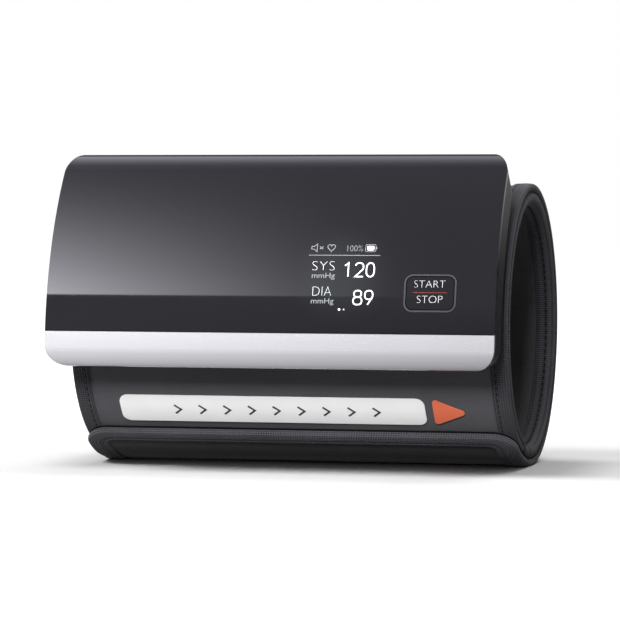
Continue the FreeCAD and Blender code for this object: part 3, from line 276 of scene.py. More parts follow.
# Cloth forms


def squarer(value, power):
    """A sine or cosine drawn towards one, so that a round gets squarer."""
    return copysign(abs(value) ** power, value)


def tape_section(width, top, bottom, wall=TAPE_THICKNESS, soft_edge=0):
    """Closed section of an edge tape folded round a layer: distance in from the edge, height.

    A soft edge is the reach of a fuller round on the lower face.
    """
    bend = (top - bottom) / 2
    middle = (top + bottom) / 2
    edge = min(bend, TAPE_EDGE)
    inner = soft_edge or edge
    turn = np.linspace(0, pi, 15)

    def crown(inset, start):
        share = min(max((inset - start) / (width - STITCH_MARGIN - start), 0), 1)
        puff = TAPE_PUFF * sin(pi * share)
        dip = STITCH_DIP * exp(-(((inset - width + STITCH_MARGIN) / STITCH_DIP_WIDTH) ** 2))
        return puff - dip

    def fold(angle, inset, bend_reach):
        reach = edge if angle <= pi / 2 else inner
        square = 1 if soft_edge and angle > pi / 2 else TAPE_SQUARE
        round_out = sin(angle) ** square
        round_up = squarer(cos(angle), square)
        return reach - (reach - inset) * round_out, middle + bend_reach * round_up

    run = np.linspace(width - TAPE_RAW_EDGE, edge, 20)
    back = np.linspace(inner, width - TAPE_RAW_EDGE, 20)
    cut = [(width, wall), (width, wall * 0.4), (width - wall * 0.5, TAPE_ROUND)]
    section = [(inset, top - depth) for inset, depth in cut]
    section += [(inset, top + crown(inset, edge)) for inset in run]
    section += [fold(angle, 0, bend) for angle in turn[1:-1]]
    section += [(inset, bottom - crown(inset, inner)) for inset in back]
    section += [(inset, bottom + depth) for inset, depth in cut[::-1]]
    section += [fold(angle, wall, bend - wall) for angle in turn[::-1]]
    return section


def edge_tape(line, side, width, top, bottom, soft_edge=0):
    """Tape folded over one edge of a band; top gives its upper face at a station's angle."""
    run = lengths(line)
    rings = []
    for station in line:
        section = tape_section(width, top(station[2]), bottom, soft_edge=soft_edge)
        rings.append([place(station, side * (HALF_WIDTH - inset), height) for inset, height in section])
    section = tape_section(width, top(line[0][2]), bottom)
    return Skin().loft(rings, run, run_of([(*point, 0) for point in section]))


def band(line, half_width, top, bottom, relief):
    """A closed layer of cloth along a line, with a relief on its outer face."""
    run = lengths(line)
    across = np.linspace(-half_width, half_width, ceil(2 * half_width / CLOTH_STEP / CLOTH_STRETCH))
    back = np.linspace(half_width, -half_width, BACK_POINTS)
    around = run_of([(x, 0) for x in across]).tolist()
    around += (around[-1] + top - bottom + run_of([(x, 0) for x in back])).tolist()
    rings = []
    for station, length in zip(line, run):
        front = [place(station, x, top + relief(length, x)) for x in across]
        rings.append(front + [place(station, x, bottom) for x in back])
    return Skin().loft(rings, run, around)


def slack(length, x):
    """Small unevenness of cloth over foam, and its puckers beside the sewn edge."""
    soft = noise.noise(Vector((length / SLACK_ALONG, x / SLACK_ACROSS, SLACK_SEED)))
    beside = abs(x) - (HALF_WIDTH - TAPE_WIDTH - PUCKER_INSET)
    edge = exp(-((beside / PUCKER_WIDTH) ** 2))
    pucker = 0.6 + 0.4 * cos(2 * pi * length / STITCH_PITCH)
    return SLACK_DEPTH * (soft - 1) - PUCKER_DEPTH * edge * pucker


def stitch_row(sewn, end, radius=STITCH_RADIUS):
    """Thread dashes along a seam, which stop short of both its ends."""
    skin = Skin()
    spot, length = sewn
    shape = ((0, 0.3), (0.14, 0.85), (0.5, 1), (0.86, 0.85), (1, 0.3))
    glance = 0.1
    turns = full_turn(THREAD_SIDES)
    for index in range(int((length - end - end) / STITCH_PITCH)):
        start = end + (index + 0.5) * STITCH_PITCH - STITCH_LENGTH / 2
        rings = []
        for share, swell in shape:
            point, normal = spot(start + share * STITCH_LENGTH)
            ahead, _ = spot(start + share * STITCH_LENGTH + glance)
            across = normal.cross((ahead - point).normalized())
            reach = radius * swell
            rings.append([point + (across * cos(a) + normal * sin(a)) * reach for a in turns])
        skin.loft(rings, [share * STITCH_LENGTH for share, _ in shape], turns)
    return skin


def seam(points, normals):
    """The seam's point and the cloth's normal by the length along its points, and its whole length."""
    run = run_of(points)
    table = np.hstack([np.array(points), np.array(normals)])

    def spot(length):
        values = [np.interp(length, run, column) for column in table.T]
        return Vector(values[:3]), Vector(values[3:]).normalized()

    return spot, run[-1]


def band_seam(line, x, height, outward=1):
    """A seam along a band, on its outer face or, with outward -1, on its inner face."""
    normals = [(0, *swing((0, 0), outward, angle)) for _, _, angle in line]
    return seam([place(station, x, height) for station in line], normals)


def flap_angle(along):
    """The angle on the flap, in radians, by the length from its root."""
    return radians(FLAP_ROOT) + along / FLAP_RADIUS


def flap_place(along, x, height):
    """The point on the flap by the length from its root; the root lifts off the cuff a little."""
    lift = ROOT_LIFT * max(0, 1 - along / ROOT_RUN) ** 2
    return place((TAIL, FLAP_RADIUS, flap_angle(along)), x, height + lift)


def flap_outline(inset_side, inset_tip, corner):
    """Places along and across the flap, round its free edges from the right root to the left root."""
    side = HALF_WIDTH - inset_side
    tip = FLAP_LENGTH - inset_tip
    quarter = np.linspace(0, pi / 2, 12)
    right = [(along, side) for along in np.linspace(-FLAP_TUCK, tip - corner, 16)]
    for turn in quarter[1:]:
        right.append((tip - corner + corner * sin(turn), side - corner + corner * cos(turn)))
    half = right + [(tip, x) for x in np.linspace(side - corner, 0, 50)[1:]]
    return half + [(along, -x) for along, x in half[-2::-1]]


# Materials

TONE_SIZE = 14
WEAR_SIZE = 17
FUZZ_SHARE = 0.5
WEAR_SHARE = 0.45
GLOW_NEAR = 4
GLOW_FAR = 19
GLOW_LEVEL = 0.02
DOT_SIZE = 0.2


def srgb(*levels):
    """A written colour of 0 to 255 as linear light."""
    shares = [level / 255 for level in levels]
    linear = [s / 12.92 if s <= 0.04045 else ((s + 0.055) / 1.055) ** 2.4 for s in shares]
    return (*linear, 1)


def scaled(colour, factor):
    """A colour made lighter or darker."""
    return (*(min(channel * factor, 1) for channel in colour[:3]), 1)


def new_material(name):
    """A material, its node tree and its surface shader."""
    material = bpy.data.materials.new(name)
    material.use_nodes = True
    tree = material.node_tree
    return material, tree, tree.nodes["Principled BSDF"]


def feed(tree, node, inputs):
    """A node's inputs, as values or links."""
    for key, value in inputs.items():
        if isinstance(value, bpy.types.NodeSocket):
            tree.links.new(value, node.inputs[key])
        else:
            node.inputs[key].default_value = value


def add(tree, kind, inputs=None, **settings):
    """A node with its inputs and settings."""
    made = tree.nodes.new(kind)
    for key, value in settings.items():
        setattr(made, key, value)
    feed(tree, made, inputs or {})
    return made


def own_places(tree):
    """Places in the piece's own space."""
    return add(tree, "ShaderNodeTexCoord").outputs["Object"]


def ramp(tree, factor, stops):
    """Colours by a factor, as places and colours."""
    made = add(tree, "ShaderNodeValToRGB", {0: factor})
    elements = made.color_ramp.elements
    elements[0].position, elements[0].color = stops[0]
    elements[1].position, elements[1].color = stops[-1]
    for position, colour in stops[1:-1]:
        elements.new(position).color = colour
    return made.outputs[0]


def toned(tree, factor, colour, change, places=(0.3, 0.7)):
    """A colour that goes from darker to lighter between two places of the factor."""
    low, high = places
    return ramp(tree, factor, [(low, scaled(colour, 1 - change)), (high, scaled(colour, 1 + change))])


def calc(tree, operation, *values):
    """A sum on values or links."""
    return add(tree, "ShaderNodeMath", dict(enumerate(values)), operation=operation).outputs[0]


def vector_calc(tree, operation, *values, output="Vector"):
    """The same for vectors; some of these sums give a value."""
    made = add(tree, "ShaderNodeVectorMath", dict(enumerate(values)), operation=operation)
    return made.outputs[output]


def spread(tree, factor, low, high, first=0, last=1, kind="LINEAR"):
    """A value from low to high, as the factor goes from first to last."""
    inputs = dict(enumerate((factor, first, last, low, high)))
    return add(tree, "ShaderNodeMapRange", inputs, interpolation_type=kind).outputs[0]


def grain_noise(tree, where, size):
    """Noise with spots of a size."""
    return add(tree, "ShaderNodeTexNoise", {"Vector": where, "Scale": 1 / size, "Detail": 3}).outputs[0]


def moulded(name, colour, roughness, grain=0.3, depth=0.02, metallic=0.0, specular=0.5, tone=0.12):
    """A hard surface with fine grain, and a slow drift of its tone and its gloss."""
    material, tree, shader = new_material(name)
    where = own_places(tree)
    fine = grain_noise(tree, where, grain * MM)
    broad = grain_noise(tree, where, TONE_SIZE * MM)
    bump = add(tree, "ShaderNodeBump", {"Height": fine, "Strength": 0.5, "Distance": depth * MM})
    feed(tree, shader, {
        "Base Color": toned(tree, broad, colour, tone),
        "Roughness": spread(tree, fine, roughness * 0.85, roughness * 1.15),
        "Normal": bump.outputs[0],
        "Metallic": metallic,
        "Specular IOR Level": specular,
    })
    return material


def woven(name, colour, pitch, depth, roughness=0.85, sheen=0.08, contrast=0.3):
    """Cloth with its yarns laid out by the piece's own length and width."""
    material, tree, shader = new_material(name)
    where = add(tree, "ShaderNodeAttribute", attribute_name="cloth").outputs["Vector"]
    yarns = pi / 10 / pitch  # a wave texture of scale 1 repeats each pi / 10
    settings = {"wave_type": "BANDS", "wave_profile": "SIN"}
    across = {"Vector": where, "Scale": yarns, "Distortion": 0.4, "Detail Scale": 0.3}
    warp = add(tree, "ShaderNodeTexWave", across, bands_direction="X", **settings).outputs[1]
    weft = add(tree, "ShaderNodeTexWave", across, bands_direction="Y", **settings).outputs[1]
    cells = calc(tree, "MULTIPLY", warp, weft)
    fuzz = grain_noise(tree, where, pitch * 0.8)
    wear = grain_noise(tree, where, WEAR_SIZE)
    tufts = calc(tree, "MULTIPLY_ADD", fuzz, FUZZ_SHARE, cells)
    worn = calc(tree, "MULTIPLY_ADD", wear, WEAR_SHARE, tufts)
    bump = add(tree, "ShaderNodeBump", {"Height": tufts, "Strength": 0.7, "Distance": depth * MM})
    feed(tree, shader, {
        "Base Color": toned(tree, worn, colour, contrast, (0.25, 1.0)),
        "Roughness": spread(tree, fuzz, roughness - 0.08, roughness + 0.08),
        "Normal": bump.outputs[0],
        "Sheen Weight": sheen,
        "Sheen Roughness": 0.5,
        "Specular IOR Level": 0.1,
    })
    return material


def lens_gloss(name, glow_at=None):
    """Glossy black plastic, with a faint glow round a lit place behind it."""
    material, tree, shader = new_material(name)
    where = own_places(tree)
    fine = grain_noise(tree, where, 2.5 * MM)
    feed(tree, shader, {
        "Base Color": toned(tree, fine, srgb(13, 11, 18), 0.08),
        "Roughness": spread(tree, fine, 0.03, 0.055),
        "Specular IOR Level": 0.3,
    })
    if glow_at:
        away = vector_calc(tree, "DISTANCE", where, glow_at, output="Value")
        fade = spread(tree, away, GLOW_LEVEL, 0, GLOW_NEAR * MM, GLOW_FAR * MM, "SMOOTHSTEP")
        feed(tree, shader, {"Emission Color": srgb(205, 232, 235), "Emission Strength": fade})
    return material


def silver_paint(name):
    """Metallic paint with a fine flake."""
    material, tree, shader = new_material(name)
    where = own_places(tree)
    flake = grain_noise(tree, where, 0.5 * MM)
    feed(tree, shader, {
        "Base Color": toned(tree, flake, srgb(233, 232, 238), 0.015),
        "Roughness": spread(tree, flake, 0.18, 0.195),
        "Metallic": 0.9,
    })
    return material


def lit_mark(name, colour, strength):
    """A mark that glows, in fine dots: the display's marks are lit from behind, and the key's print gets a
    painted glow.
    """
    material, tree, shader = new_material(name)
    where = own_places(tree)
    scale = 1 / (DOT_SIZE * MM)
    dots = add(tree, "ShaderNodeTexVoronoi", {"Vector": where, "Scale": scale}).outputs["Distance"]
    light = ramp(tree, dots, [(0, colour), (1, scaled(colour, 0.8))])
    feed(tree, shader, {
        "Base Color": light, "Emission Color": light, "Emission Strength": strength, "Roughness": 0.4,
    })
    return material


BINDING = woven("binding_tape", srgb(52, 52, 56), 0.85, 0.18, contrast=0.65)
# Much the binding's fabric, in a lighter tone standing in for the light that the flap's hem catches: painted
# light
LIGHTER_HEM_TAPE = woven("hem_tape_painted_light", srgb(62, 61, 66), 0.85, 0.18, contrast=0.7)
COVER = woven("cover_knit", srgb(76, 76, 80), 0.5, 0.06, roughness=0.75, sheen=0.1, contrast=0.25)
# The cover's knit in a darker tone, standing in for the shade on the down-facing flap: painted shade
DARKER_FLAP_KNIT = woven("flap_knit_painted_shade", srgb(64, 64, 67), 0.5, 0.06, roughness=0.75, sheen=0.05, contrast=0.25)
LINING = woven("lining_knit", srgb(67, 67, 69), 0.7, 0.1, contrast=0.4)
HOOK = woven("hook_rows", srgb(34, 34, 36), 1.1, 0.35, roughness=0.55, sheen=0, contrast=0.5)
THREAD = woven("thread", srgb(15, 15, 17), 0.3, 0.05, roughness=0.6, sheen=0)
# A near-black cord under the flap's edge: painted shadow of the gap there
SHADOW_CORD_CLOTH = woven("painted_shadow_cord", srgb(12, 12, 13), 0.4, 0.05, sheen=0)
HEM_THREAD = woven("hem_thread", srgb(58, 58, 62), 0.3, 0.05, roughness=0.6, sheen=0)
FILM = moulded("bladder_film", srgb(70, 72, 76), 0.35, grain=1.2, depth=0.05)

DISPLAY_X = 23
DISPLAY_ANGLE = 17.5
DISPLAY_PLACE = (ARM_X + DISPLAY_X, *swing(FRONT, FRONT_RADIUS, radians(DISPLAY_ANGLE)))
SCREEN_LIGHT = lit_mark("screen_light", srgb(246, 249, 250), 0.85)
DIM_LIGHT = lit_mark("dim_screen_light", srgb(142, 146, 149), 0.06)
# The key's white print made to glow, with nothing behind it to light it: painted glow
GLOWING_KEY_PRINT = lit_mark("key_print_painted_glow", srgb(230, 230, 232), 0.45)
KEY_LINE = moulded("key_line", srgb(112, 52, 47), 0.6, grain=0.2, depth=0.01, specular=0.2)
# A near-black strip laid over the lens's joint: painted shadow of the gap there
SEAM_SHADOW_STRIP = moulded("seam_shadow", srgb(16, 16, 18), 0.7, specular=0.1)
LABEL_MARK = moulded("label_mark", srgb(44, 44, 48), 0.6, grain=0.2, depth=0.01)

NODE_LOOKS = {
    lens_gloss("lens_gloss", [value * MM for value in DISPLAY_PLACE]): ["front_lens"],
    lens_gloss("key_gloss"): ["start_key"],
    silver_paint("silver_paint"): ["chin_trim"],
    moulded("shell_grain", srgb(34, 34, 37), 0.38, grain=0.35, depth=0.03, specular=0.12): [
        "front_shell", "rear_shell",
    ],
    moulded("ring_line", srgb(62, 62, 66), 0.5, specular=0.2): ["key_ring"],
    moulded("label_print", srgb(240, 240, 240), 0.55, grain=0.5, depth=0.015, tone=0.02): ["label_strip"],
    moulded("arrow_print", srgb(217, 108, 76), 0.5, grain=0.4, depth=0.015, tone=0.05): ["arrow_patch"],
    moulded("display_black", srgb(12, 12, 14), 0.15, grain=0.6, depth=0.005): ["display_panel"],
    moulded("inner_plastic", srgb(188, 186, 180), 0.5): [
        "air_manifold", "anchor_plate", "cuff_port", "display_bracket", "pump_head", "switch_plunger",
    ],
    moulded("curler_plastic", srgb(205, 207, 208), 0.4, grain=0.6): ["cuff_curler"],
    moulded("chip_plastic", srgb(30, 30, 32), 0.45): [
        "board_chips", "buzzer", "pressure_sensor", "switch_body",
    ],
    moulded("board_green", srgb(28, 92, 58), 0.4, grain=0.8): ["main_board"],
    moulded("screw_steel", srgb(176, 176, 178), 0.3, metallic=1.0): [
        "anchor_screws", "board_screws", "housing_screws", "charge_socket",
    ],
    moulded("motor_steel", srgb(158, 158, 162), 0.35, metallic=1.0): [
        "pump_motor", "pump_rotor", "valve_body", "valve_plunger",
    ],
    moulded("cell_foil", srgb(186, 188, 190), 0.3, grain=1.5, metallic=0.8): ["battery_cell"],
    moulded("tube_rubber", srgb(36, 36, 38), 0.6): ["air_tube", "pump_bands", "sensor_tube"],
}


def dress_nodes():
    """Each CAD node that shows as it is gets its material."""
    for material, names in NODE_LOOKS.items():
        for name in names:
            slots = NODES[name].data.materials
            slots.clear()
            slots.append(material)


# Soft pieces

TAIL = swing(ARM, TAIL_SHIFT, radians(TAIL_START))
TAIL_LINE = arc(TAIL, TAIL_RADIUS, TAIL_END, TAIL_START)
WRAP_LINE = TAIL_LINE + arc(ARM, COVER_RADIUS, TAIL_START, WRAP_END)[1:]
SLEEVE_LINE = arc(ARM, SLEEVE_RADIUS, SLEEVE_FIRST, SLEEVE_LAST)
SIDES = {"left": -1, "right": 1}
TAPE_BOTTOM = -COVER_THICKNESS - TAPE_THICKNESS
# Each layer's outer and inner radius, material and slot
SLEEVE_LAYERS = {
    "sleeve_lining": (41.3, 40.7, LINING, "lining_fabric"),
    "air_bladder": (42.0, 41.4, FILM, "bladder_film"),
    "sleeve_ply": (42.7, 42.1, LINING, "lining_fabric"),
}


def build_wrap():
    """The cover, its edge tapes with their stitches, and the hem of its tucked tail."""
    cover = band(WRAP_LINE, HALF_WIDTH - COVER_INSET, 0, -COVER_THICKNESS, slack).make("wrap_cover", COVER)
    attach(cover, "monitor")
    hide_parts("cuff_cover")
    for name, side in SIDES.items():
        skin = edge_tape(WRAP_LINE, side, TAPE_WIDTH, lambda angle: TAPE_THICKNESS, TAPE_BOTTOM)
        tape = skin.make(f"wrap_tape_{name}", BINDING)
        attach(tape, "monitor")
        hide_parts(f"cover_binding_{name}")
        inset = TAPE_WIDTH - STITCH_MARGIN
        sewn = band_seam(WRAP_LINE, side * (HALF_WIDTH - inset), TAPE_THICKNESS - STITCH_DIP)
        thread = stitch_row(sewn, WRAP_SEAM_END).make(f"wrap_stitches_{name}", THREAD)
        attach(thread, "monitor")
    hem = tail_hem().make("wrap_tail_hem", BINDING)
    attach(hem, "monitor")


def tail_hem():
    """Tape folded over the tail's end, across the cuff between the edge tapes."""
    section = tape_section(TAPE_WIDTH, TAIL_HEM_RISE, -COVER_THICKNESS - TAIL_HEM_RISE, wall=TAIL_HEM_WALL)
    edge = radians(TAIL_END)
    angles = [edge + (inset - TAIL_HEM_PAST) / TAIL_RADIUS for inset, _ in section]
    spots = [((TAIL, TAIL_RADIUS, angle), height) for angle, (_, height) in zip(angles, section)]
    across = np.linspace(TAPE_WIDTH - HALF_WIDTH, HALF_WIDTH - TAPE_WIDTH, 60)
    rings = [[place(station, x, height) for station, height in spots] for x in across]
    return Skin().loft(rings, run_of([(x, 0) for x in across]), run_of([(*point, 0) for point in section]))


def rim_top(angle):
    """The sleeve's padded rim fills the room up to the wrap, and gives way to the tucked tail."""
    away = angle - radians(TAIL_START)
    if away >= 0:
        return RIM_RISE
    beyond = (RIM_PAST_TAIL - degrees(angle)) / RIM_RAMP
    if beyond > 0:
        return RIM_RISE * min(beyond, 1)
    inner = TAIL_RADIUS + TAPE_BOTTOM
    room = TAIL_SHIFT * cos(away) + sqrt(inner**2 - (TAIL_SHIFT * sin(away)) ** 2)
    return min(max(room - RIM_GAP - SLEEVE_RADIUS, 0), RIM_RISE)


def build_sleeve():
    """The inner sleeve: lining, air bladder and outer ply, with padded tapes round both ends."""
    for node, (outer, inner, material, slot) in SLEEVE_LAYERS.items():
        low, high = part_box(node)
        half = (high.x - low.x) / 2 / MM - LAYER_INSET
        line = SLEEVE_LINE
        if node == "air_bladder":
            line = arc(ARM, SLEEVE_RADIUS, SLEEVE_FIRST + BLADDER_END, SLEEVE_LAST - BLADDER_END)
        skin = band(line, half, outer - SLEEVE_RADIUS, inner - SLEEVE_RADIUS, lambda length, x: 0)
        layer = skin.make(f"{node}_layer", material)
        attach(layer, "monitor")
        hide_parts(node)
    for name, side in SIDES.items():
        skin = edge_tape(SLEEVE_LINE, side, RIM_WIDTH, rim_top, -SLEEVE_DEPTH, RIM_EDGE)
        tape = skin.make(f"sleeve_tape_{name}", BINDING)
        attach(tape, "monitor")
        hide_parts(f"sleeve_binding_{name}")
        height = RIM_STITCH_RISE - SLEEVE_DEPTH
        sewn = band_seam(SLEEVE_LINE, side * (HALF_WIDTH - RIM_STITCH), height, outward=-1)
        thread = stitch_row(sewn, SLEEVE_SEAM_END, RIM_THREAD).make(f"sleeve_stitches_{name}", THREAD)
        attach(thread, "monitor")


def bend_flap(piece):
    """The piece's place is baked into its mesh; the start and end of the flap's bend are found but not used.
    """
    start = Vector(flap_place(0, 0, 0)) * MM
    end = Vector(flap_place(FLAP_BEND, 0, 0)) * MM
    start.x = end.x = 0
    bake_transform(piece)


def within(outer, inner, share):
    """A place between the flap's edge and the hem's inner line."""
    return [first + (second - first) * share for first, second in zip(outer, inner)]


def build_flap():
    """The closing flap: its panel, the wide hem round it with its stitches, a dark cord under its edge as
    painted shadow, and the hooks.
    """
    panel_top = -TAPE_THICKNESS
    panel_bottom = panel_top - COVER_THICKNESS
    hem_bottom = panel_bottom - TAPE_THICKNESS
    run = np.linspace(-FLAP_TUCK, FLAP_LENGTH - PANEL_INSET, 22)
    across = np.linspace(PANEL_INSET - HALF_WIDTH, HALF_WIDTH - PANEL_INSET, 90)
    rings = []
    for along in run:
        reliefs = [slack(along + PANEL_SLACK_START, x * PANEL_SLACK_WIDTH) for x in across]
        front = [flap_place(along, x, panel_top + relief) for x, relief in zip(across, reliefs)]
        rings.append(front + [flap_place(along, x, panel_bottom) for x in across[::-1]])
    skin = Skin().loft(rings, run, [*across, *(across + 2 * HALF_WIDTH)])
    panel = skin.make("flap_panel", DARKER_FLAP_KNIT)
    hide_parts("cuff_flap")
    bend_flap(panel)

    outside = flap_outline(0, 0, FLAP_CORNER)
    inside = flap_outline(HEM_SIDE, HEM_TIP, HEM_CORNER)
    section = tape_section(HEM_TIP, 0, hem_bottom)
    rings = []
    for outer, inner in zip(outside, inside):
        shares = [(distance / HEM_TIP, height) for distance, height in section]
        rings.append([flap_place(*within(outer, inner, share), height) for share, height in shares])
    hem = Skin().loft(rings, run_of(outside), run_of(section)).make("flap_hem", LIGHTER_HEM_TAPE)
    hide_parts("flap_binding")
    bend_flap(hem)

    build_shadow_cord(outside, hem_bottom - SHADOW_CORD_DROP)

    share = (HEM_TIP - STITCH_MARGIN) / HEM_TIP
    points, normals = [], []
    for outer, inner in zip(outside, inside):
        along, x = within(outer, inner, share)
        points.append(flap_place(along, x, -STITCH_DIP))
        normals.append((0, *swing((0, 0), 1, flap_angle(along))))
    bend_flap(stitch_row(seam(points, normals), FLAP_SEAM_END).make("flap_stitches", HEM_THREAD))

    build_hooks()


def build_shadow_cord(outline, height):
    """A thin dark cord under the flap's edge, where it meets the cuff: painted shadow of the gap between
    them.
    """
    turns = full_turn(8)
    narrow = 1 - SHADOW_CORD_RADIUS / HALF_WIDTH
    rings = []
    for along, x in outline:
        at_tip = along > FLAP_LENGTH - FLAP_CORNER
        ring = []
        for turn in turns:
            out = SHADOW_CORD_RADIUS * cos(turn)
            ahead, aside = (out, 0) if at_tip else (0, out)
            reach = height + SHADOW_CORD_RADIUS * sin(turn)
            ring.append(flap_place(along - SHADOW_CORD_TUCK + ahead, x * narrow + aside, reach))
        rings.append(ring)
    shadow_cord = Skin().loft(rings, run_of(outline), turns).make("flap_painted_shadow_cord", SHADOW_CORD_CLOTH)
    bend_flap(shadow_cord)


def build_hooks():
    """The hook patch on the flap's inner face, as rows of small ridges."""
    low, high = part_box("hook_patch")
    half = (high.x - low.x) / 2 / MM
    rows = np.linspace(*HOOK_ENDS, 46)
    across = np.linspace(-half, half, 40)
    rings = []
    for index, along in enumerate(rows):
        ridge = HOOK_RIDGE if index % 2 else 0
        inner = [flap_place(along, x, HOOK_BOTTOM + ridge) for x in across]
        rings.append(inner + [flap_place(along, x, HOOK_TOP) for x in across[::-1]])
    skin = Skin().loft(rings, rows, [*across, *(across + 2 * half)])
    patch = skin.make("hook_rows_patch", HOOK)
    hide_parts("hook_patch")
    bend_flap(patch)


# Marks


def prism(outline):
    """A flat closed outline as a thin form; places are across, up and depth."""
    count = len(outline)
    points = [(*point, 0) for point in outline] + [(*point, 1) for point in outline]
    faces = [tuple(range(count))[::-1], tuple(range(count, 2 * count))]
    for index in range(count):
        following = (index + 1) % count
        faces.append((index, following, count + following, count + index))
    return points, faces


def disc(x, y, radius):
    """A round dot as a thin form."""
    return prism([(x + radius * cos(turn), y + radius * sin(turn)) for turn in full_turn(20)])


def stroke(line, width, closed=False):
    """A line of even width through its points, as a thin form."""
    count = len(line)
    left, right = [], []
    for index, point in enumerate(line):
        before = line[index - 1] if index or closed else point
        after = line[(index + 1) % count] if index < count - 1 or closed else point
        arrive = (Vector(point) - Vector(before)).normalized() if before != point else None
        leave = (Vector(after) - Vector(point)).normalized() if after != point else None
        arrive = arrive or leave
        leave = leave or arrive
        middle = (arrive + leave).normalized()
        normal = Vector((-middle.y, middle.x))
        reach = width / 2 / max(middle.dot(leave), MITRE_LIMIT)
        left.append(Vector(point) + normal * reach)
        right.append(Vector(point) - normal * reach)
    points = [(p.x, p.y, depth) for depth in (0, 1) for p in left + right]
    faces = []
    for index in range(count if closed else count - 1):
        following = (index + 1) % count
        l0, l1, r0, r1 = index, following, count + index, count + following
        top = 2 * count
        faces += [(l0, l1, r1, r0), (top + l0, top + r0, top + r1, top + l1)]
        faces += [(l0, top + l0, top + l1, l1), (r0, r1, top + r1, top + r0)]
    if not closed:
        for index in (0, count - 1):
            l0, r0 = index, count + index
            faces.append((l0, r0, 2 * count + r0, 2 * count + l0))
    return points, faces


def letters(words, weight):
    """Words in the plain built-in letters, fitted to a unit box; the weight thickens their strokes."""
    curve = bpy.data.curves.new("letters", "FONT")
    curve.body = words
    curve.extrude = 0.5
    curve.offset = weight
    curve.resolution_u = 5
    text = bpy.data.objects.new("letters", curve)
    mesh = bpy.data.meshes.new_from_object(text)
    points = np.array([vertex.co for vertex in mesh.vertices])
    low, high = points.min(0), points.max(0)
    points = (points - low) / (high - low)
    faces = [tuple(polygon.vertices) for polygon in mesh.polygons]
    bpy.data.objects.remove(text)
    bpy.data.curves.remove(curve)
    bpy.data.meshes.remove(mesh)
    return points.tolist(), faces


def rise(angle):
    """Length up the bowed front to an angle."""
    return radians(angle) * FRONT_RADIUS


def lay(skin, form, centre=FRONT, radius=FRONT_RADIUS, depth=MARK_DEPTH):
    """A flat form laid on a bowed face, the front unless another is named, and sunk to half of its depth."""
    points, faces = form
    laid = []
    for x, up, share in points:
        laid.append((ARM_X + x, *swing(centre, radius + depth * (2 * share - 1), up / radius)))
    skin.solid(laid, faces)


def in_box(shares, box):
    """Places on the front, from shares of a box: left, right, low and high angle."""
    left, right, low, high = box
    bottom, top = rise(low), rise(high)
    return [(left + x * (right - left), bottom + y * (top - bottom)) for x, y in shares]


def write(skin, rows, weight):
    """Words, each of which fills its box on the front."""
    for words, *box in rows:
        points, faces = letters(words, weight)
        places = in_box([(x, y) for x, y, _ in points], box)
        lay(skin, ([(*spot, point[2]) for spot, point in zip(places, points)], faces))


def draw(skin, line, width, box, closed=False):
    """A drawn line whose points are shares of a box on the front."""
    lay(skin, stroke(in_box(line, box), width, closed))


def rounded(share_x, share_y, corner_x, corner_y):
    """A rounded box as shares, leaving a margin on each side."""
    left, right = share_x + corner_x, 1 - share_x - corner_x
    low, high = share_y + corner_y, 1 - share_y - corner_y
    line = []
    for quarter, (x, y) in enumerate(((right, high), (left, high), (left, low), (right, low))):
        for step in range(5):
            turn = radians(90 * quarter + 22.5 * step)
            line.append((x + corner_x * cos(turn), y + corner_y * sin(turn)))
    return line


def heart():
    """A plain heart as shares of a box."""
    line = []
    for turn in full_turn(36):
        x = 16 * sin(turn) ** 3
        y = 13 * cos(turn) - 5 * cos(2 * turn) - 2 * cos(3 * turn) - cos(4 * turn)
        line.append((0.5 + x / 34, 0.56 + y / 30))
    return line


def oval(x, y, reach_x, reach_y, first=0, last=360, square=0.8):
    """Part of a squared oval as shares of a box, by the turn in degrees."""
    line = []
    for turn in np.radians(np.arange(first, last, 10 if last > first else -10)):
        across, up = squarer(cos(turn), square), squarer(sin(turn), square)
        line.append((x + reach_x * across, y + reach_y * up))
    return line


FIGURES = {
    "0": [(oval(0.5, 0.5, 0.5, 0.5), True)],
    "1": [([(0, 0.8), (0.85, 1), (0.85, 0)], False)],
    "2": [(oval(0.5, 0.7, 0.48, 0.3, 165, -35) + [(0.03, 0), (1, 0)], False)],
    "8": [(oval(0.5, 0.77, 0.42, 0.23), True), (oval(0.5, 0.27, 0.5, 0.27), True)],
    "9": [(oval(0.5, 0.69, 0.5, 0.31), True), ([(0.97, 0.58), (0.86, 0.43), (0.36, 0)], False)],
}
FIGURE_STROKE = 0.42
DIM_STROKE = 0.24
RULE_STROKE = 0.22
NAME_WEIGHT = -0.036
UNIT_WEIGHT = 0.004
CHARGE_WEIGHT = -0.014
KEY_WEIGHT = -0.032
KEY_LINE_STROKE = 0.28
FLAT_LINE = [(0, 0.5), (1, 0.5)]
# Boxes on the front: left, right, low and high angle
BATTERY = (30.2, 33.9, 21.75, 23.3)
SPEAKER = (12.2, 16.4, 21.7, 23.4)
HEART = (17.5, 20.2, 21.8, 23.25)
DISPLAY_RULE = (11.4, 35.4, 21.0, 21.2)
READINGS = (
    ("1", 23.7, 25.5, 16.9, 19.75), ("2", 27.2, 30.4, 16.9, 19.75), ("0", 30.95, 34.0, 16.9, 19.75),
    ("8", 27.1, 30.4, 11.65, 14.5), ("9", 30.95, 34.0, 11.65, 14.5),
)
READING_NAMES = (("SYS", 12.8, 20.4, 18.2, 19.9), ("DIA", 13.6, 19.8, 13.4, 15.05))
READING_UNITS = (("mmHg", 13.0, 20.7, 16.4, 17.7), ("mmHg", 13.2, 20.8, 11.6, 12.9))
CHARGE = (("100%", 24.2, 29.5, 21.9, 23.05),)
KEY_WORDS = (("START", 47.4, 57.7, 15.05, 16.35), ("STOP", 48.5, 57.0, 12.2, 13.5))
KEY_RULE = (47.1, 58.4, 14.0, 14.2)
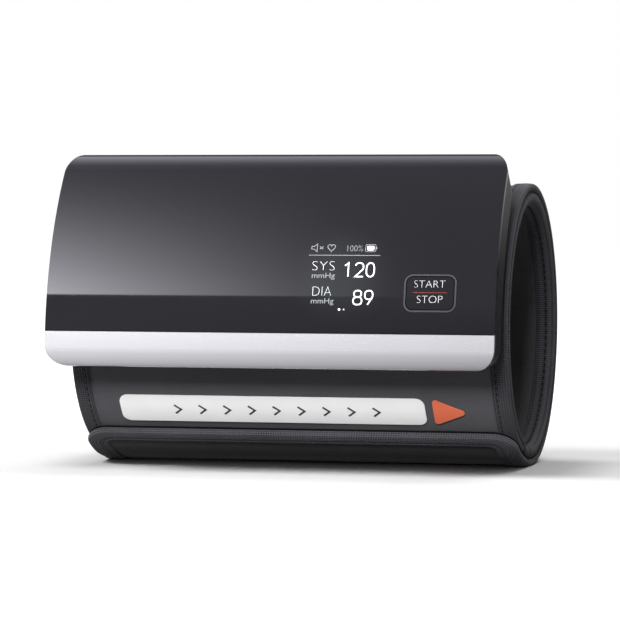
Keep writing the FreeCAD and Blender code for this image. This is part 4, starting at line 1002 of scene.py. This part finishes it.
# Two dots under the readings: place across and radius
DOTS = ((22.8, 0.4), (24.3, 0.22))
DOT_ANGLE = 10.85


def figure(skin, name, left, right, low, high):
    """One figure of a reading, drawn inside its box."""
    half = FIGURE_STROKE / 2
    turn = degrees(half / FRONT_RADIUS)
    for line, closed in FIGURES[name]:
        draw(skin, line, FIGURE_STROKE, (left + half, right - half, low + turn, high - turn), closed)


def build_display():
    """What the display shows: a state row over a rule, and two readings with their names."""
    bright = Skin()
    for reading in READINGS:
        figure(bright, *reading)
    write(bright, READING_NAMES, NAME_WEIGHT)
    for x, radius in DOTS:
        lay(bright, disc(x, rise(DOT_ANGLE), radius))
    draw(bright, rounded(0.2, 0.24, 0.03, 0.05), 0.05, BATTERY, closed=True)
    lay(bright, prism(in_box(rounded(0.19, 0.24, 0.03, 0.05), BATTERY)))
    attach(bright.make("display_readings", SCREEN_LIGHT), "monitor")

    dim = Skin()
    write(dim, READING_UNITS, UNIT_WEIGHT)
    write(dim, CHARGE, CHARGE_WEIGHT)
    draw(dim, FLAT_LINE, RULE_STROKE, DISPLAY_RULE)
    draw(dim, rounded(0.04, 0.06, 0.08, 0.16), RULE_STROKE, BATTERY, closed=True)
    draw(dim, [(1.03, 0.36), (1.03, 0.64)], 0.28, BATTERY)
    horn = [(0.0, 0.34), (0.2, 0.34), (0.44, 0.06), (0.44, 0.94), (0.2, 0.66), (0.0, 0.66)]
    draw(dim, horn, DIM_STROKE, SPEAKER, closed=True)
    draw(dim, [(0.64, 0.34), (0.92, 0.66)], DIM_STROKE, SPEAKER)
    draw(dim, [(0.64, 0.66), (0.92, 0.34)], DIM_STROKE, SPEAKER)
    draw(dim, heart(), DIM_STROKE, HEART, closed=True)
    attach(dim.make("display_small_marks", DIM_LIGHT), "monitor")


def build_key_marks():
    """The key's two words and the line between them."""
    words = Skin()
    write(words, KEY_WORDS, KEY_WEIGHT)
    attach(words.make("key_words", GLOWING_KEY_PRINT), "key")
    line = Skin()
    draw(line, FLAT_LINE, KEY_LINE_STROKE, KEY_RULE)
    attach(line.make("key_divider", KEY_LINE), "key")


def build_seam_shadow():
    """A dark strip over the joint between the lens and the silver chin, as painted shadow of the joint's
    gap.
    """
    low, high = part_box("front_lens")
    left, right = low.x / MM - ARM_X + SEAM_END, high.x / MM - ARM_X - SEAM_END
    skin = Skin()
    lay(skin, stroke([(x, rise(SEAM_ANGLE)) for x in np.linspace(left, right, 40)], SEAM_WIDTH))
    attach(skin.make("lens_joint_painted_shadow", SEAM_SHADOW_STRIP), "monitor")


def build_label_marks():
    """A row of plain chevrons along the label, pointing to the arrow."""
    low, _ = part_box("label_strip")
    middle = radians(LABEL_ANGLE) * LABEL_RADIUS
    skin = Skin()
    for index in range(CHEVRON_COUNT):
        x = low.x / MM - ARM_X + CHEVRON_START + index * CHEVRON_PITCH
        line = [(x, middle + CHEVRON_RISE), (x + CHEVRON_REACH, middle), (x, middle - CHEVRON_RISE)]
        lay(skin, stroke(line, CHEVRON_STROKE), TAIL, LABEL_RADIUS, LABEL_MARK_DEPTH)
    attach(skin.make("label_chevrons", LABEL_MARK), "monitor")


# Stage

WHITE = (1, 1, 1, 1)

# The camera's place, the lamps and the floor are in metres.
CAMERA_PLACE = (0.29235, -1.1774, 0.0965)
CAMERA_YAW = 13.93
CAMERA_PITCH = 2.07
CAMERA_LENS = 205.55
CAMERA_SENSOR = 36
LAMP_TARGET = Vector((0.0, -0.01, 0.05))
# Each lamp's place, size and level
LAMPS = {
    "key_lamp": ((-0.8, -0.45, 0.95), 0.5, 0.6),
    "top_lamp": ((0.2, 0.25, 1.1), 0.7, 0.4),
    "front_lamp": ((0.1, -1.3, 0.58), 0.32, 1.37),
}
WORLD_LEVEL = 0.22
FLOOR_HALF = 4.0
FLOOR_DROP = 0.0001
FLOOR_BOUNCE = 0.52
FLOOR_SEEN = 0.94
# The footprint is where the floor's painted glow is nought, which paints the floor darker near the object
FOOTPRINT = (0.075, 0.02, 0.01)
FOOTPRINT_SHIFT = 0.009
# Painted glow of the floor by the distance from the footprint: none at the footprint, so a painted shade
# darkens the floor near the object, and more further off
FLOOR_PAINTED_GLOW = (
    (0.0, 0.0), (0.006, 0.0), (0.026, 0.27), (0.05, 0.24), (0.1, 0.22), (0.3, 0.5), (0.5, 0.85),
)

# Cards that only reflections show, in millimetres
CARD_FLOOR = 0.4
CARD_TINT = (1.04, 1.04, 1.13, 1)
CARD_LIGHT = 11.5
CARD_DISTANCE = 900
CARD_ELEVATIONS = (24.6, 82)
CARD_ENDS = (-850, -120)
CARD_ZERO = -345
CARD_RUN = 223
CARD_FULL = 1.3
CARD_FADE = (-2.2, -0.3)
CARD_FALL = 0.81
CARD_FOOT = 13.3
CARD_FOOT_RISE = 0.23
CARD_LENS_RISE = 0.42
CARD_EYE_DIP = 0.0175
# Light by the elevation in degrees
CHIN_LIGHT = (
    (-150, 0.3), (-120, 0.42), (-89, 0.56), (-47, 0.68), (-10, 0.85),
    (0, 0.87), (4.4, 0.93), (7.9, 1.03), (12, 1.07), (24, 1.0),
)
CHIN_TOP = 2
CHIN_RIGHT = 0.63
CHIN_FADE = 12
CHIN_DISTANCE = 600
CHIN_SHARES = (-0.8, 1.8)
UNIT_WIDTH = 152
EYE_DISTANCE = 1120
EYE_ASIDE = 368
EDGE_LIGHT = (
    (79.3, 1.3), (80.6, 1.6), (81.5, 2.1), (82.4, 2.9), (83.4, 4.4), (84.3, 6.1),
    (85.2, 7.2), (92, 7.2), (99, 5.8), (107, 3.8), (115, 1.8), (124, 0.5), (140, 0.3), (170, 0.3),
)
EDGE_TINT = (0.95, 0.94, 1.04, 1)
EDGE_TOP = 10
EDGE_RIGHT = 0.72
EDGE_DISTANCE = 880
EDGE_ANGLE = 42.4
# Places across and their shares
EDGE_PLACES = ((-520, -0.5), (-364, 0), (-93, 1), (60, 1.5))
FLAG_ROWS = (
    ((90, 60, CARD_FLOOR), (1500, 60, CARD_FLOOR)),
    ((-600, 900, CARD_FLOOR), (1500, 900, CARD_FLOOR)),
    ((-600, 900, 1200), (1500, 900, 1200)),
)
FLAG_LEVEL = 0.05
WALL_ROWS = (((84, 110, 62), (280, 110, 62)), ((84, 110, 190), (280, 110, 190)))
WALL_LEVEL = 2.2


def seen_directly(tree):
    """One for rays from the camera, a reflection or a clear part, and nought for the rest."""
    rays = add(tree, "ShaderNodeLightPath").outputs
    seen = calc(tree, "MAXIMUM", rays["Is Camera Ray"], rays["Is Glossy Ray"])
    return calc(tree, "MAXIMUM", seen, rays["Is Transmission Ray"])


def build_world():
    """A white surround, which lights the object less than it shows."""
    world = bpy.data.worlds.new("studio")
    bpy.context.scene.world = world
    world.use_nodes = True
    tree = world.node_tree
    level = spread(tree, seen_directly(tree), WORLD_LEVEL, 1)
    feed(tree, tree.nodes["Background"], {"Color": WHITE, "Strength": level})


def build_floor():
    """A white floor that keeps the object's shadow; its painted glow is nought at the object's footprint, a
    painted shade there, and rises until the floor turns into the white surround further off.
    """
    mesh = bpy.data.meshes.new("floor")
    corners = [(x, y, -FLOOR_DROP) for x, y in ((-1, -1), (1, -1), (1, 1), (-1, 1))]
    mesh.from_pydata([(x * FLOOR_HALF, y * FLOOR_HALF, z) for x, y, z in corners], [], [(0, 1, 2, 3)])
    floor = put("floor", mesh)
    # The floor's painted shade round the footprint is moved a little to the right
    floor.location.x = FOOTPRINT_SHIFT
    material, tree, shader = new_material("floor_white")
    seen = seen_directly(tree)
    side = vector_calc(tree, "ABSOLUTE", own_places(tree))
    past = vector_calc(tree, "SUBTRACT", side, FOOTPRINT)
    away = vector_calc(tree, "LENGTH", vector_calc(tree, "MAXIMUM", past, (0, 0, 0)), output="Value")
    last = FLOOR_PAINTED_GLOW[-1][0]
    share = spread(tree, away, 0, 1, last=last)
    painted_glow = ramp(tree, share, [(reach / last, (level, level, level, 1)) for reach, level in FLOOR_PAINTED_GLOW])
    feed(tree, shader, {
        "Base Color": spread(tree, seen, FLOOR_BOUNCE, FLOOR_SEEN),
        "Roughness": 0.9,
        "Specular IOR Level": 0,
        "Emission Color": WHITE,
        "Emission Strength": calc(tree, "MULTIPLY", painted_glow, seen),
    })
    mesh.materials.append(material)
    return floor


def build_lamp(name, position, size, level):
    """A square soft lamp that no reflection shows; its level is the light that a facing white sends back."""
    lamp = bpy.data.lights.new(name, "AREA")
    lamp.size = size
    holder = put(name, lamp)
    holder.location = position
    aim = LAMP_TARGET - Vector(position)
    holder.rotation_euler = aim.to_track_quat("-Z", "Y").to_euler()
    lamp.energy = level * pi**2 * aim.length_squared
    holder.visible_glossy = False
    return holder


def spare(lamp, thing):
    """The lamp leaves one thing unlit."""
    others = bpy.data.collections.new(f"{lamp.name}_spares")
    others.objects.link(thing)
    lamp.light_linking.receiver_collection = others
    others.collection_objects[0].light_linking.link_state = "EXCLUDE"


def reflect_only(name, rows, cloth, material):
    """A stage card that only reflections show."""
    skin = Skin()
    skin.grid(rows, cloth)
    card = skin.make(name, material, closed=False)
    for rays in ("camera", "diffuse", "shadow", "transmission", "volume_scatter"):
        setattr(card, f"visible_{rays}", False)


def card_material(name):
    """A card's material, its node tree, and the shares across and up the card."""
    material, tree, _ = new_material(name)
    tree.nodes.clear()
    places = add(tree, "ShaderNodeAttribute", attribute_name="cloth").outputs["Vector"]
    shares = add(tree, "ShaderNodeSeparateXYZ", {0: places}).outputs
    return material, tree, shares[0], shares[1]


def shine(tree, level, tint, clear=False):
    """The light of a card; a clear card also lets through what is behind it."""
    light = add(tree, "ShaderNodeEmission", {"Strength": level, "Color": tint}).outputs[0]
    if clear:
        behind = add(tree, "ShaderNodeBsdfTransparent").outputs[0]
        light = add(tree, "ShaderNodeAddShader", {0: light, 1: behind}).outputs[0]
    add(tree, "ShaderNodeOutputMaterial", {"Surface": light})


def graded(name, low, high, right=1, tint=WHITE):
    """Light of a card that rises from low to high up the card, and falls to a share at its right."""
    material, tree, across, up = card_material(name)
    shine(tree, calc(tree, "MULTIPLY", spread(tree, up, low, high), spread(tree, across, 1, right)), tint)
    return material


def build_light_card():
    """A bowed soft light card: brightest low on the left, fading up and right.

    Its share up is that of the place on the lens which shows it to the camera.
    """
    foot_y, _ = swing(FRONT, FRONT_RADIUS, radians(CARD_FOOT))
    foot = (foot_y, FRONT[1] + FRONT_RADIUS * CARD_FOOT_RISE)
    places = np.linspace(*CARD_ENDS, 60)
    rows, cloth = [], []
    for angle in [radians(elevation) for elevation in np.linspace(*CARD_ELEVATIONS, 24)]:
        share = (sin(angle / 2 + CARD_EYE_DIP) - CARD_FOOT_RISE) / CARD_LENS_RISE
        spot = swing(foot, CARD_DISTANCE, angle)
        rows.append([(x, *spot) for x in places])
        cloth.append([((x - CARD_ZERO) / CARD_RUN, share) for x in places])
    material, tree, across, up = card_material("light_card")
    side = calc(tree, "MAXIMUM", calc(tree, "SUBTRACT", 1, across), 0)
    fade = spread(tree, across, 0, 1, *CARD_FADE, "SMOOTHSTEP")
    side = calc(tree, "MULTIPLY", calc(tree, "MINIMUM", side, CARD_FULL), fade)
    tall = calc(tree, "MAXIMUM", calc(tree, "MULTIPLY_ADD", up, -CARD_FALL, 1), 0)
    both = calc(tree, "MULTIPLY", side, tall)
    level = calc(tree, "MULTIPLY", calc(tree, "MULTIPLY", both, both), CARD_LIGHT)
    shine(tree, level, CARD_TINT, clear=True)
    reflect_only("light_card", rows, cloth, material)


def build_chin_card():
    """Graded grey in front of the chin, from the floor up, for the silver to reflect."""
    low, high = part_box("chin_trim")
    foot_y, foot_z = low.y / MM, (low.z + high.z) / 2 / MM
    shares = np.linspace(*CHIN_SHARES, 40)
    rows, cloth = [], []
    for elevation, level in CHIN_LIGHT:
        angle = radians(elevation)
        away = CHIN_DISTANCE * cos(angle)
        if angle < asin((CARD_FLOOR - foot_z) / CHIN_DISTANCE):
            away = (foot_z - CARD_FLOOR) / tan(-angle)
        left = -UNIT_WIDTH / 2 - EYE_ASIDE * away / EYE_DISTANCE
        width = UNIT_WIDTH + UNIT_WIDTH * away / EYE_DISTANCE
        z = foot_z + away * tan(angle)
        rows.append([(left + width * share, foot_y - away, z) for share in shares])
        fade = min((CHIN_LIGHT[-1][0] - elevation) / CHIN_FADE, 1)
        cloth.append([(share * fade, level / CHIN_TOP) for share in shares])
    reflect_only("chin_card", rows, cloth, graded("chin_card", 0, CHIN_TOP, CHIN_RIGHT))


def build_edge_card():
    """Light over the top, which the lens's upper edge reflects."""
    foot = swing(FRONT, FRONT_RADIUS, radians(EDGE_ANGLE))
    rows, cloth = [], []
    for elevation, level in EDGE_LIGHT:
        spot = swing(foot, EDGE_DISTANCE, radians(elevation))
        rows.append([(x, *spot) for x, _ in EDGE_PLACES])
        cloth.append([(share, level / EDGE_TOP) for _, share in EDGE_PLACES])
    reflect_only("edge_card", rows, cloth, graded("edge_card", 0, EDGE_TOP, EDGE_RIGHT, EDGE_TINT))


def build_end_cards():
    """A dark card on the floor and behind, and a graded one before it, for the unit's right end."""
    dark, light = graded("dark_flag", FLAG_LEVEL, FLAG_LEVEL), graded("wall_card", 0, WALL_LEVEL)
    for name, rows, material in (("dark_flag", FLAG_ROWS, dark), ("wall_card", WALL_ROWS, light)):
        cloth = [[(0, share), (1, share)] for share in np.linspace(0, 1, len(rows))]
        reflect_only(name, rows, cloth, material)


def build_camera():
    """The camera at the photograph's place: to the right of the front, a little above."""
    lens = bpy.data.cameras.new("camera")
    lens.lens = CAMERA_LENS
    lens.sensor_width = CAMERA_SENSOR
    camera = put("camera", lens)
    camera.location = CAMERA_PLACE
    camera.rotation_euler = (pi / 2 - radians(CAMERA_PITCH), 0, radians(CAMERA_YAW))
    bpy.context.scene.camera = camera


build_camera()
dress_nodes()
build_wrap()
build_sleeve()
build_flap()
build_display()
build_key_marks()
build_seam_shadow()
build_label_marks()
build_world()
lamps = {name: build_lamp(name, *values) for name, values in LAMPS.items()}
spare(lamps["front_lamp"], build_floor())
build_light_card()
build_chin_card()
build_edge_card()
build_end_cards()
bpy.context.scene.view_settings.view_transform = "Standard"
